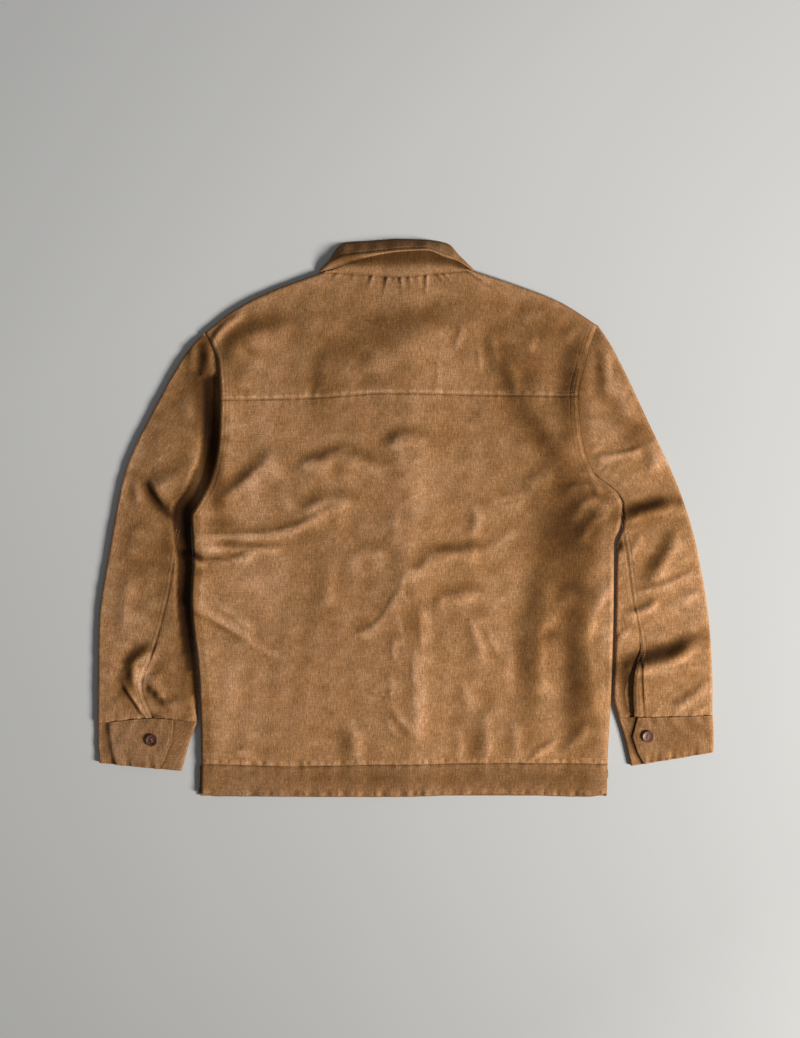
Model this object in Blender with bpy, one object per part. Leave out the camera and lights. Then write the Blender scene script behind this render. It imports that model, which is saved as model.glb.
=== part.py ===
"""A button-cuff jacket of suede-like cloth, laid flat on its front with its back up.

+X is to the wearer's right, +Y towards the collar, +Z up. The front rests on Z = 0 and the origin
is below the middle of the whole garment. Sizes are in millimetres and turned into metres once, in
new_object. Each piece of cloth is a wall made from a grid of face points: four seam lines give the
grid its plan, a height gives it its folds, and the inside lies one cloth thickness behind.
"""

import math

import bmesh
import bpy
import numpy as np

MM = 0.001

# Driving dimensions
CLOTH = 1.5  # thickness of one layer
BAND_CLOTH = 2.0  # cuffs and hem band, which are folded double
COLLAR_CLOTH = 1.6
SEAM_GAP = 0.3  # between pieces that are sewn together
ROLL = 6.0  # how far in from an outline the cloth has turned up from it
BACK_HEIGHT = 6.6  # the middle of the back, over the two fronts
CREST_REACH = 30.0  # how far a stand-off beside an outline reaches in
FRONT_STACK = 3.4  # how much higher the back lies over the closure
FRONT_STACK_REACH = 38.0
COLLAR_STACK = 1.2  # and over the collar stand
NECK_X = -11.0  # the middle of the neck
STACK_TOP = 225.0  # where the back starts to rise over the collar, going up
STACK_HALF = 110.0  # and half the width over which it does
CLOSURE_X = 11.0  # the line of front buttons
CLOSURE_HALF = 19.0  # half the overlap of the two fronts
CLOSURE_TOP = 232.0  # above it the left front lies down again
SLEEVE_HEIGHT = 8.0
SLEEVE_ROLL = 4.8
SLEEVE_SEAM_LOW = 5.6  # the lowest that the top of a sleeve lies at its armhole
BUTTON_RADIUS = 8.5
BUTTON_THICK = 2.6
BUTTON_LIFT = BUTTON_THICK + SEAM_GAP  # the left front over its buttons
UNDERLAP_GAP = 0.8  # between the left front and the right front's underlap
COLLAR_LIFT = COLLAR_CLOTH + SEAM_GAP  # the fronts over the collar's points
LIFT_BOTTOM = 176.0  # where the fronts start to rise over the points, going up
LIFT_HALF = 160.0
SOFT_RISE = 40.0  # over which a layer comes up sideways onto what it lies on
QUICK_RISE = 22.0
CLOSURE_FADE = 16.0
UNDERLAP_RISE = (1.5, 12.0)  # from the left front's edge, where the right front comes up onto it
FRONT_BUTTONS = 5
FRONT_BUTTON_TOP = 214.0
FRONT_BUTTON_BOTTOM = -286.0
HEM_BUTTON_Y = -366.0

# Outlines of the body. Each row is a place on the outline: its x and y, the height of the back's
# edge and of the front's edge there, whether each of them is rolled over (1) or runs on flat into
# the next piece (0), and how far the back stands off beside it.
BODY_COLUMNS = ("x", "y", "back_rim", "front_rim", "back_roll", "front_roll", "crest")
SIDE_LEFT = (
    # place, x, y, back_rim, front_rim, back_roll, front_roll, crest
    ("hem", -286.4, -389, 4.2, 4.2, 1, 1, 2.2),
    ("hem seam", -285.2, -344, 4.2, 4.2, 1, 1, 2.4),
    ("waist", -288.5, -228, 4.6, 4.6, 1, 1, 3.8),
    ("side", -299.5, -112, 5.0, 5.0, 1, 1, 5.0),
    ("notch", -296.5, -56, 5.0, 5.0, 1, 1, 4.5),
    ("armpit", -300, 4, 4.6, 4.6, 1, 1, 6.0),
)
ARMHOLE_LEFT = (
    ("armpit", -300, 4, 4.6, 4.6, 1, 1, 6.0),
    ("turn", -286.5, 24.5, 4.4, 1.2, 1, 0.3, 6.2),
    ("low", -272, 57, 4.4, 0, 1, 0, 5.6),
    ("middle", -261, 112, 4.6, 0, 1, 0, 4.8),
    ("yoke", -259, 163, 5.2, 0, 1, 0, 4.0),
    ("high", -262.5, 217, 6.0, 0, 0.8, 0, 3.2),
    ("top", -271, 242, 5.2, 1.5, 0.8, 0.3, 2.6),
    ("tip", -280, 258, 4.4, 4.4, 1, 1, 2.2),
)
SIDE_RIGHT = (
    ("hem", 281, -389, 4.2, 4.2, 1, 1, 1.6),
    ("hem seam", 282, -344, 4.2, 4.2, 1, 1, 1.8),
    ("waist", 287.6, -228, 4.4, 4.4, 1, 1, 2.6),
    ("side", 290.5, -118, 4.6, 4.6, 1, 1, 3.0),
    ("under arm", 291, -36, 4.6, 4.6, 1, 1, 3.0),
    ("flare", 299.5, -12, 4.8, 4.8, 1, 1, 3.4),
    ("armpit", 303, 21, 5.0, 5.0, 1, 1, 3.6),
)
ARMHOLE_RIGHT = (
    ("armpit", 303, 21, 5.0, 5.0, 1, 1, 3.6),
    ("turn", 293, 37, 6.5, 1.2, 0.6, 0.3, 3.0),
    ("low", 262, 63, 8.0, 0, 0.1, 0, 2.2),
    ("middle", 244.5, 120, 8.2, 0, 0, 0, 1.8),
    ("yoke", 241, 168.5, 8.2, 0, 0, 0, 1.6),
    ("high", 250, 212, 8.0, 0, 0, 0, 1.4),
    ("top", 259, 245, 6.4, 1.5, 0.4, 0.3, 1.4),
    ("tip", 268, 268, 4.4, 4.4, 1, 1, 1.4),
)
SHOULDER_LEFT = (
    ("tip", -280, 258, 4.4, 4.4, 1, 1, 2.2),
    ("outer", -241.5, 288, 4.4, 4.4, 1, 1, 2.4),
    ("middle", -190, 315, 4.6, 4.6, 1, 1, 2.2),
    ("neck", -118.3, 341.5, 5.0, 5.0, 1, 1, 1.8),
)
SHOULDER_RIGHT = (
    ("neck", 95, 344, 5.0, 5.0, 1, 1, 1.4),
    ("middle", 160.3, 322.3, 4.6, 4.6, 1, 1, 1.4),
    ("outer", 216.3, 300.3, 4.4, 4.4, 1, 1, 1.4),
    ("tip", 268, 268, 4.4, 4.4, 1, 1, 1.4),
)

# Seams across the body, as place, x, y
NECK = (
    ("left end", -118.3, 341.5),
    ("left", -69.3, 338.9),
    ("middle", -10.5, 334.3),
    ("right", 58, 340.5),
    ("right end", 95, 344),
)
YOKE_SEAM = (
    ("left", -259, 163),
    ("left middle", -133.7, 166),
    ("middle", -27.3, 172.6),
    ("right middle", 104.3, 170.4),
    ("right", 241, 168.5),
)
HEM_SEAM = (
    ("left", -285.2, -344),
    ("left middle", -157, -347.6),
    ("middle", -40, -345.4),
    ("right middle", 137, -343.2),
    ("right", 282, -344),
)
HEM_EDGE = (
    ("left", -286.4, -385),
    ("left turn", -262, -388.6),
    ("middle", -60, -389.8),
    ("right middle", 125, -386.4),
    ("right turn", 252, -389.4),
    ("right", 281, -385),
)
FRONT_NECK_LEFT = (
    ("shoulder", -118.3, 341.5),
    ("side", -104, 305),
    ("low side", -74, 274),
    ("low", -30, 257),
    ("centre", 30, 254),
)
FRONT_NECK_RIGHT = (
    ("centre", -8, 254),
    ("low", 20, 257),
    ("low side", 56, 274),
    ("side", 83, 305),
    ("shoulder", 95, 344),
)

# The largest folds of the back: the line where each starts to rise, by its first, middle and last
# point, its height, and how fast it rises on its steep side and falls on the other, which is the
# one to the right of the line's direction.
BODY_FOLDS = (
    # name, x0, y0, x1, y1, x2, y2, height, steep, soft
    ("left shoulder lean", -266, 24, -225, 60, -182, 96, 3.0, 11, 26),
    ("shoulder blade arc", -160, 66, -92, 92, -14, 62, 3.4, 11, 24),
    ("blade tail", -40, 100, 0, 118, 42, 110, 2.6, 10, 20),
    ("middle arc", -164, 2, -104, 32, -60, 24, 2.6, 11, 18),
    ("side to middle ridge", -300, -30, -190, -42, -66, 12, 3.4, 10, 16),
    ("low left lean", -290, -104, -248, -140, -202, -180, 1.8, 11, 20),
    ("middle knot", 6, -70, 40, -40, 106, -40, 3.0, 10, 22),
    ("hook", 86, -32, 93, 0, 88, 24, 2.4, 8, 14),
    ("long rise", -84, -168, -46, -146, -8, -88, 2.2, 10, 20),
    ("closure under the back", 12, -304, 9, -196, 8, -98, 2.4, 11, 15),
    ("right hollow edge", 172, -240, 168, -150, 216, -30, 3.2, 11, 24),
    ("right rim", 233, -307, 247, -237, 228, -100, 2.8, 10, 18),
    ("yoke lean right", 232, 58, 196, 108, 140, 192, 2.6, 12, 26),
    ("left shoulder ridge", -276, 226, -248, 262, -214, 284, 2.4, 10, 18),
    ("yoke blotch", -122, 216, -40, 226, 82, 226, 1.8, 14, 26),
    ("right under arm", 226, 20, 264, 26, 300, 22, 2.4, 9, 14),
)
FOLD_TAPER = 0.3  # share of its line over which a fold rises at each end
LEFT_SLEEVE_FOLDS = (
    # name, x0, y0, x1, y1, x2, y2, height, steep, soft
    ("elbow overlap", -298, -20, -340, 18, -366, 60, 4.2, 8, 18),
    ("upper arm", -340, 150, -322, 190, -306, 222, 1.8, 11, 20),
    ("elbow ridge", -375, 12, -381, 36, -388, 62, 2.0, 8, 12),
    ("forearm arc", -369, -274, -388, -210, -356, -176, 3.2, 9, 18),
    ("cuff crease", -366, -276, -382, -252, -400, -226, 2.0, 8, 15),
)
RIGHT_SLEEVE_FOLDS = (
    # name, x0, y0, x1, y1, x2, y2, height, steep, soft
    ("cap", 266, 84, 302, 92, 336, 96, 2.2, 10, 16),
    ("elbow", 300, 2, 338, 6, 378, 22, 4.4, 9, 17),
    ("forearm lean", 326, -92, 352, -56, 374, -10, 2.6, 10, 18),
    ("forearm", 312, -106, 364, -88, 406, -68, 2.2, 9, 16),
    ("above the cuff", 290, -204, 346, -192, 410, -156, 4.2, 10, 20),
    ("cuff fold", 366, -272, 392, -254, 416, -236, 2.2, 8, 15),
)

# Sleeves: outlines from the armhole to the cuff, as place, x, y, height of the outline
SLEEVE_COLUMNS = ("x", "y", "rim")
LEFT_INNER = (
    ("armpit", -300.6, 3.6, 4.6),
    ("under arm", -305.5, -17.5, 4.4),
    ("bicep", -312, -59.5, 4.2),
    ("elbow", -314.5, -115.5, 4.0),
    ("forearm", -309, -180, 4.0),
    ("wrist", -296.5, -246, 3.8),
    ("cuff", -290.5, -285, 3.6),
)
LEFT_OUTER = (
    ("tip", -280.4, 258, 4.4),
    ("cap", -302.5, 234.5, 4.6),
    ("upper arm", -348.6, 156.1, 4.8),
    ("above elbow", -391.6, 62.9, 4.8),
    ("elbow", -411.5, -34.3, 4.6),
    ("forearm", -428.6, -156, 4.4),
    ("low forearm", -429.7, -230, 4.2),
    ("cuff", -429.8, -287, 4.0),
)
RIGHT_INNER = (
    ("armpit", 303.8, 20.6, 5.0),
    ("flare", 303.4, -10, 4.6),
    ("under arm", 295.5, -38, 4.4),
    ("elbow", 293.2, -118, 4.2),
    ("forearm", 292.4, -180, 4.0),
    ("wrist", 289.6, -248, 3.8),
    ("cuff", 296.5, -278.5, 3.6),
)
RIGHT_OUTER = (
    ("tip", 268.4, 268.2, 4.4),
    ("cap", 286, 241.8, 4.6),
    ("upper arm", 334.7, 142.1, 4.6),
    ("above elbow", 385.7, 28.3, 4.6),
    ("elbow", 406.7, -43.8, 4.6),
    ("forearm", 425.2, -164.5, 4.4),
    ("low forearm", 428.4, -230, 4.2),
    ("cuff", 428.6, -275.5, 4.0),
)
LEFT_SLEEVE_END = (("inner", -290.5, -285), ("middle", -352, -279.5), ("outer", -429.8, -287))
RIGHT_SLEEVE_END = (("inner", 296.5, -278.5), ("middle", 366, -277.5), ("outer", 428.6, -275.5))
# The back seam of each sleeve, as place, x, y, how far its vent stands open
SEAM_COLUMNS = ("x", "y", "vent")
LEFT_SLEEVE_SEAM = (
    ("armhole", -281, 34, 0),
    ("under arm", -313, -16, 0),
    ("elbow", -332.5, -115.5, 0),
    ("forearm", -353.5, -192.5, 0),
    ("bow", -367.5, -234.5, 0),
    ("cuff", -352, -279.5, 0),
)
RIGHT_SLEEVE_SEAM = (
    ("armhole", 280, 50, 0),
    ("under arm", 303, -22, 0),
    ("elbow", 316, -112, 0),
    ("forearm", 328, -185, 0),
    ("vent top", 322, -208, 1),
    ("vent", 320, -245, 8),
    ("cuff", 323, -278, 8),
)

# Cuffs: their two folds from the sleeve's seam to the free edge, as place, x, y. Below them the end
# of each button tab: its share of the way from the seam to the free edge, and how far it is in from
# the inner fold
LEFT_CUFF_INNER = (("seam", -290.5, -285), ("middle", -301, -312), ("edge", -312.5, -353.6))
LEFT_CUFF_OUTER = (("seam", -429.8, -287), ("middle", -430, -312), ("edge", -427.6, -342.5))
RIGHT_CUFF_INNER = (("seam", 296.5, -278.5), ("middle", 305, -306), ("edge", 314.5, -346.5))
RIGHT_CUFF_OUTER = (("seam", 428.6, -275.5), ("middle", 430, -302), ("edge", 429.8, -327.2))
LEFT_TAB = (("seam", 0, 33), ("point", 0.42, 24), ("turn", 0.8, 27), ("edge", 1, 31))
RIGHT_TAB = (("seam", 0, 27), ("point", 0.42, 11), ("turn", 0.75, 13), ("edge", 1, 18))
CUFF_BUTTON_LEFT = (-353.5, -310.0)
CUFF_BUTTON_RIGHT = (337.5, -305.0)
CUFF_TOP = 8.6
CUFF_UNDERLAP_TOP = CUFF_TOP - BAND_CLOTH - SEAM_GAP
CUFF_UNDERLAP = 62.0  # from the inner fold

# The collar, from the left front round the back of the neck to the right front: for each section
# the seam to the neck, the stand's upper edge, the leaf's fold and the leaf's free edge
COLLAR = (
    # place, seam x y z, stand x y z, fold x y z, leaf edge x y z, bulge
    ("left centre", 9, 257.5, 3.7, 9, 287, 1.9, 3, 290, 0, -40, 210, 0, 0),
    ("left front", -30, 261, 3.7, -30, 291, 1.9, -38, 295, 0, -78, 222, 0, 0),
    ("left side", -74, 278, 3.7, -66, 306, 1.9, -76, 311, 0, -108, 256, 0, 0),
    ("left under", -101, 306, 3.7, -91, 325, 1.9, -103, 329, 0, -121, 300, 0, 0),
    ("left edge", -110, 330, 4.2, -101, 337, 2.4, -112, 339, 0, -124, 334, 0, 0),
    ("left turn", -112, 341.4, 5.6, -109, 346, 3.6, -118, 347.5, 1.2, -123.5, 344.8, 4.6, 0.3),
    ("left neck", -104, 342.8, 9.0, -100, 356, 4.6, -106, 359, 2.4, -107, 351, 13, 1.2),
    ("left back", -86, 341.6, 9.4, -80, 376, 3.6, -82, 381.5, 2.0, -86, 361, 17.5, 2.6),
    ("back left", -48, 337.8, 9.4, -46, 383, 3.4, -46, 387.6, 2.0, -49, 367, 19, 3),
    ("back", -10, 335.6, 9.2, -10, 385, 3.4, -10, 389.6, 2.0, -10, 370, 19.5, 3),
    ("back right", 28, 338, 9.2, 26, 384.2, 3.4, 27, 388.8, 2.0, 27, 371, 19, 3),
    ("right back", 64, 342.8, 9.2, 56, 377.4, 3.6, 58, 382.6, 2.0, 60, 361, 17.5, 2.6),
    ("right neck", 81, 345, 9.0, 76, 357, 4.6, 82, 360.5, 2.4, 84, 352.5, 13, 1.2),
    ("right turn", 89, 344.2, 5.6, 87, 348.6, 3.6, 95, 350, 1.2, 100.5, 347.6, 4.6, 0.3),
    ("right edge", 87, 332, 4.2, 79, 340, 2.4, 90, 342, 0, 101, 336, 0, 0),
    ("right under", 80, 306, 3.7, 69, 326, 1.9, 80, 331, 0, 98, 300, 0, 0),
    ("right side", 56, 279, 3.7, 46, 307, 1.9, 54, 311, 0, 84, 254, 0, 0),
    ("right front", 30, 263, 3.7, 30, 291, 1.9, 32, 295, 0, 62, 222, 0, 0),
    ("right centre", 13, 258.5, 3.9, 13, 287, 2.0, 12, 291, 0, 44, 210, 0, 0),
)

# The left front over its buttons: distance from the line of buttons, and height off the floor
CLOSURE_PROFILE = (
    (-23.0, 0.0),
    (-11.5, BUTTON_LIFT),
    (11.5, BUTTON_LIFT),
    (CLOSURE_HALF, 0.3),
    (CLOSURE_HALF + 1.5, 0.0),
)

# A button from its underside to the floor of its dish, as radius, height
BUTTON_PROFILE = (
    (BUTTON_RADIUS - 1.0, 0.0),
    (BUTTON_RADIUS, 0.9),
    (BUTTON_RADIUS - 0.3, BUTTON_THICK - 0.4),
    (BUTTON_RADIUS - 1.3, BUTTON_THICK),
    (BUTTON_RADIUS - 3.0, BUTTON_THICK - 0.8),
)

# Grid of the pieces
LINE_STEPS = 16  # between two places of a line
ROLL_STEPS = (0.0, 0.134, 0.5, 1.0)  # equal turns of a quarter round, as shares of its radius
SIDE_ROWS = 14
ARM_LOW = (0, 0.09, 0.18, 0.265, 0.345, 0.35, 0.362, 0.38, 0.43, 0.48, 0.6, 0.73, 0.86, 1)
SLEEVE_CORNER = 4  # the armhole station from which the sleeve's own columns start
ARM_HIGH = (0, 0.25, 0.5, 0.75, 0.94, 0.97, 0.992, 1)
BACK_COLUMNS = 20
LEFT_CLOSURE_COLUMNS = (42.0, 30.5, 7.5, 0.0)  # from its own centre edge
CLOSURE_STRIP = 50.0
RIGHT_CLOSURE_COLUMNS = (CLOSURE_STRIP, 39.5, 30.5, 7.5, 0.0)
SIDE_COLUMNS = 3  # of a front, between its turned side and the neck
BAND_ROWS = 3
SLEEVE_ROWS = 12  # below the armpit
SEAM_STATION = 5  # of the sleeve's columns, the one where its back seam is
UNDER_STATION = 8  # and the one of its other seam, on the floor side
FLOOR_SEAM_SHARE = 0.3  # where the floor side's columns pass the back seam's one
SLEEVE_FAN = 0.38  # share of the outer outline that the rows above the armpit reach
BOW_REACH = 0.34  # share of a sleeve over which its rows lose the bow of its two ends
ARMPIT_GAP = 0.8  # between the body and the turned edge of the sleeve
FLOOR_SIDE_TOP = 0.6  # share of the armhole above which the floor side comes up with the front
SEAM_INSET = 3.5  # the least between a sleeve's back seam and its turned edge
ARMHOLE_REACH = 3.0 * ROLL  # over which a sleeve comes up from its armhole
CUFF_ROWS = 4
CUFF_SETBACK = 0.75  # of the cuff's own edge at the sleeve
CUFF_COLUMNS = 6
UNDERLAP_COLUMNS = 4
STAND_ROWS = 3
LEAF_ROWS = 4
COLLAR_STEPS = 2  # between two sections of the collar
BUTTON_SIDES = 14

SUEDE = ("suede cloth", (0.287, 0.144, 0.060), 0.92)
SUEDE_SHADE = ("suede cloth, bands", (0.250, 0.122, 0.050), 0.92)
BUTTON = ("brown button", (0.075, 0.028, 0.012), 0.38)


def clear_scene():
    for obj in list(bpy.data.objects):
        bpy.data.objects.remove(obj, do_unlink=True)


def material(finish):
    name, colour, roughness = finish
    found = bpy.data.materials.get(name)
    if found:
        return found
    made = bpy.data.materials.new(name)
    made.use_nodes = True
    shader = made.node_tree.nodes["Principled BSDF"]
    shader.inputs["Base Color"].default_value = (*colour, 1.0)
    shader.inputs["Roughness"].default_value = roughness
    shader.inputs["Metallic"].default_value = 0.0
    return made


def new_object(name, points, faces, finish):
    """An object from points in millimetres, its faces turned outwards."""
    mesh = bpy.data.meshes.new(name)
    mesh.from_pydata([tuple(point * MM) for point in points], [], faces)
    shape = bmesh.new()
    shape.from_mesh(mesh)
    bmesh.ops.triangulate(shape, faces=shape.faces[:])
    bmesh.ops.recalc_face_normals(shape, faces=shape.faces[:])
    if shape.calc_volume(signed=True) < 0:
        bmesh.ops.reverse_faces(shape, faces=shape.faces[:])
    shape.to_mesh(mesh)
    shape.free()
    mesh.shade_smooth()
    mesh.set_sharp_from_angle(angle=math.radians(50))
    mesh.materials.append(material(finish))
    obj = bpy.data.objects.new(name, mesh)
    bpy.context.scene.collection.objects.link(obj)
    return obj


def unit(vectors):
    length = np.linalg.norm(vectors, axis=-1, keepdims=True)
    return vectors / np.where(length > 1e-9, length, 1.0)


def smoothstep(value):
    t = np.clip(value, 0.0, 1.0)
    return t * t * (3.0 - 2.0 * t)


def smooth_points(points, steps=LINE_STEPS):
    """A smooth line through the points: cubics that never swing out past the points themselves."""
    points = np.array(points, float)
    if len(points) < 3:
        return np.linspace(points[0], points[-1], steps + 1)
    chord = np.linalg.norm(np.diff(points, axis=0), axis=1)
    slope = np.diff(points, axis=0) / chord[:, None]
    before, after = slope[:-1], slope[1:]
    turned = before * after <= 0.0
    mean = 2.0 * before * after / np.where(turned, 1.0, before + after)
    tangent = np.concatenate([slope[:1], np.where(turned, 0.0, mean), slope[-1:]])
    t = np.linspace(0.0, 1.0, steps, endpoint=False)[:, None]
    line = []
    for i in range(len(points) - 1):
        span = chord[i]
        line.append(
            (2 * t**3 - 3 * t**2 + 1) * points[i]
            + (t**3 - 2 * t**2 + t) * span * tangent[i]
            + (3 * t**2 - 2 * t**3) * points[i + 1]
            + (t**3 - t**2) * span * tangent[i + 1]
        )
    return np.concatenate([*line, points[-1:]])


class Line:
    """A line in plan through a table's places. Its other columns run straight from row to row."""

    def __init__(self, *tables, columns=("x", "y")):
        plan, extra = [], []
        for table in tables:
            rows = np.array([row[1:] for row in table], float)
            smooth = smooth_points(rows[:, :2])
            at_rows = np.linspace(0.0, 1.0, len(rows))
            at = np.linspace(0.0, 1.0, len(smooth))
            rest = [np.interp(at, at_rows, column) for column in rows[:, 2:].T]
            skip = 1 if plan else 0
            plan.append(smooth[skip:])
            extra.append(np.array(rest).T.reshape(len(smooth), -1)[skip:])
        self.points = np.concatenate(plan)
        self.rest = np.concatenate(extra)
        self.columns = columns[2:]
        run = np.linalg.norm(np.diff(self.points, axis=0), axis=1)
        self.place = np.concatenate([[0.0], np.cumsum(run)])
        self.length = self.place[-1]
        self.place = self.place / self.length

    def at(self, share):
        """Points at these shares of the line's length."""
        return np.stack([np.interp(share, self.place, self.points[:, i]) for i in (0, 1)], axis=-1)

    def across(self, share):
        """Points at these shares of the way from its first x to its last."""
        x = self.points[0, 0] + share * (self.points[-1, 0] - self.points[0, 0])
        return np.stack([x, np.interp(x, self.points[:, 0], self.points[:, 1])], axis=-1)

    def value(self, column, share):
        return np.interp(share, self.place, self.rest[:, self.columns.index(column)])

    def near(self, x, y):
        """How far each point is from the line, and the share of the line nearest to it."""
        flat = np.stack([np.ravel(x), np.ravel(y)], axis=-1)
        start = self.points[:-1]
        step = np.diff(self.points, axis=0)
        offset = flat[:, None, :] - start[None]
        along = np.clip((offset * step).sum(-1) / (step * step).sum(-1), 0.0, 1.0)
        gap = np.linalg.norm(offset - along[..., None] * step, axis=-1)
        best = gap.argmin(axis=1)
        rows = np.arange(len(flat))
        share = self.place[best] + along[rows, best] * (self.place[best + 1] - self.place[best])
        shape = np.shape(x)
        return gap[rows, best].reshape(shape), share.reshape(shape)


def body_line(*tables):
    return Line(*tables, columns=BODY_COLUMNS)


def plan_of(table):
    """The table's places with only their x and y."""
    return tuple(row[:3] for row in table)


BODY_EDGES = {
    "side_left": body_line(SIDE_LEFT),
    "armhole_left": body_line(ARMHOLE_LEFT),
    "side_right": body_line(SIDE_RIGHT),
    "armhole_right": body_line(ARMHOLE_RIGHT),
    "shoulder_left": body_line(SHOULDER_LEFT),
    "shoulder_right": body_line(SHOULDER_RIGHT),
}


def fold_height(folds, x, y):
    """Height that the folds add: each rises over its steep side and falls over its soft one."""
    total = np.zeros(np.shape(x))
    for name, x0, y0, x1, y1, x2, y2, height, steep, soft in folds:
        line = Line(((name, x0, y0), (name, x1, y1), (name, x2, y2)))
        away, share = line.near(x, y)
        here = line.at(share)
        ahead = line.at(np.clip(share + 0.02, 0, 1)) - line.at(np.clip(share - 0.02, 0, 1))
        side = ahead[..., 1] * (x - here[..., 0]) - ahead[..., 0] * (y - here[..., 1])
        past = np.sign(side) * away - steep
        width = np.where(past < 0, steep, soft)
        taper = smoothstep(np.minimum(share, 1 - share) / FOLD_TAPER)
        total += height * taper * np.exp(-((past / width) ** 2))
    return total


def rolled_share(distance, roll, reach):
    """0 at an edge and 1 away from it: round over the edge where it is rolled, else a soft start."""
    q = np.clip(distance / reach, 0.0, 1.0)
    return roll * np.sqrt(1.0 - (1.0 - q) ** 2) + (1.0 - roll) * smoothstep(q)


def back_height(x, y):
    """The back's face: its middle, what lies under it, its folds, and the turn at its outline."""
    z = BACK_HEIGHT + fold_height(BODY_FOLDS, x, y)
    z = z + FRONT_STACK * np.exp(-(((x - CLOSURE_X) / FRONT_STACK_REACH) ** 2))
    over_collar = 1.0 - smoothstep((np.abs(x - NECK_X) - STACK_HALF) / SOFT_RISE)
    z = z + COLLAR_STACK * smoothstep((y - STACK_TOP) / SOFT_RISE) * over_collar
    near = {name: edge.near(x, y) for name, edge in BODY_EDGES.items()}
    crest = np.zeros(np.shape(x))
    for name, (away, share) in near.items():
        stand = BODY_EDGES[name].value("crest", share) * np.exp(-((away / CREST_REACH) ** 2))
        crest = np.maximum(crest, stand)
    z = z + crest
    for name, (away, share) in near.items():
        rim = BODY_EDGES[name].value("back_rim", share)
        kept = rolled_share(away, BODY_EDGES[name].value("back_roll", share), ROLL)
        z = rim + (z - rim) * kept
    return z


def closure_lift(x, y):
    """How far the left front stands off the floor over its row of buttons."""
    lift = np.interp(x - CLOSURE_X, *np.array(CLOSURE_PROFILE).T)
    return lift * (1.0 - smoothstep((y - CLOSURE_TOP) / CLOSURE_FADE))


def collar_lift(x, y):
    """How far the fronts stand off the floor over the collar's points."""
    across = 1.0 - smoothstep((np.abs(x - NECK_X) - LIFT_HALF) / SOFT_RISE)
    return COLLAR_LIFT * smoothstep((y - LIFT_BOTTOM) / QUICK_RISE) * across


def front_outline(z, x, y):
    """A front's face, turned up where it meets the back at its outline."""
    for edge in BODY_EDGES.values():
        away, share = edge.near(x, y)
        rim = edge.value("front_rim", share)
        kept = rolled_share(away, edge.value("front_roll", share), ROLL)
        z = rim + (z - rim) * kept
    return z


def front_face(x, y):
    """The left front's face, which is its floor side."""
    return front_outline(np.maximum(closure_lift(x, y), collar_lift(x, y)), x, y)


def underlap_face(x, y):
    """The right front's face: on the floor, and up over the left front inside the closure."""
    over = np.maximum(closure_lift(x, y), collar_lift(x, y)) + CLOTH + UNDERLAP_GAP
    share = np.interp(x - CLOSURE_X - CLOSURE_HALF, UNDERLAP_RISE, (1.0, 0.0))
    return front_outline(collar_lift(x, y) * (1.0 - share) + over * share, x, y)


def patch(left, right, bottom, top, u, v):
    """Plan points of a piece between four lines. left and right have a point for each row.

    Each row runs straight from side to side, plus its share v of the top line's bow and 1 - v of
    the bottom line's. Columns are straight too, at the shares u of the way across.
    """
    u = np.broadcast_to(u, (len(left), np.shape(u)[-1]))
    v = np.asarray(v)[:, None, None]
    sides = between(left[:, None, :], right[:, None, :], u)
    return sides + (1 - v) * bow(bottom, bottom.across(u), u) + v * bow(top, top.across(u), u)


def between(start, stop, share):
    return start + (stop - start) * share[..., None]


def bow(line, points, share):
    """How far a line's points are from the straight line between its ends."""
    return points - between(line.at(0.0), line.at(1.0), share)


def with_height(plan, height):
    return np.concatenate([plan, height(plan[..., 0], plan[..., 1])[..., None]], axis=-1)


def leave(edge, inside, roll):
    """The way in which the face leaves a piece at its edge: level, or up or down where it's rolled."""
    step = edge - inside
    level = step * (1.0, 1.0, 0.0)
    upright = np.zeros_like(step)
    upright[..., 2] = np.sign(step[..., 2])
    roll = np.broadcast_to(roll, step.shape[:-1])[..., None]
    return unit((1.0 - roll) * unit(level) + roll * upright)


def wall(name, face, thickness, finish, rolls=None, gaps=None, outward=1.0):
    """A piece of cloth from a grid of face points, with its edges set back for the seams.

    rolls and gaps give, for the sides first_row, last_row, first_column and last_column, whether
    that edge is rolled over and how far it is set back.
    """
    rolls, gaps = rolls or {}, gaps or {}
    face = face.copy()
    along = np.gradient(face, axis=1)
    up = np.gradient(face, axis=0)
    normal = unit(np.cross(along, up)) * outward
    sides = {
        "first_row": (np.s_[0, :], np.s_[1, :]),
        "last_row": (np.s_[-1, :], np.s_[-2, :]),
        "first_column": (np.s_[:, 0], np.s_[:, 1]),
        "last_column": (np.s_[:, -1], np.s_[:, -2]),
    }
    ways = {side: leave(face[at], face[by], rolls.get(side, 0.0)) for side, (at, by) in sides.items()}
    for side, (at, _) in sides.items():
        way = ways[side]
        normal[at] = unit(normal[at] - (normal[at] * way).sum(-1, keepdims=True) * way)
    for side, (at, _) in sides.items():
        gap = np.broadcast_to(gaps.get(side, SEAM_GAP / 2), ways[side].shape[:-1])[..., None]
        face[at] = face[at] - gap * ways[side]
    back = face - thickness * normal
    return new_object(name, *closed_grid(face, back), finish)


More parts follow.
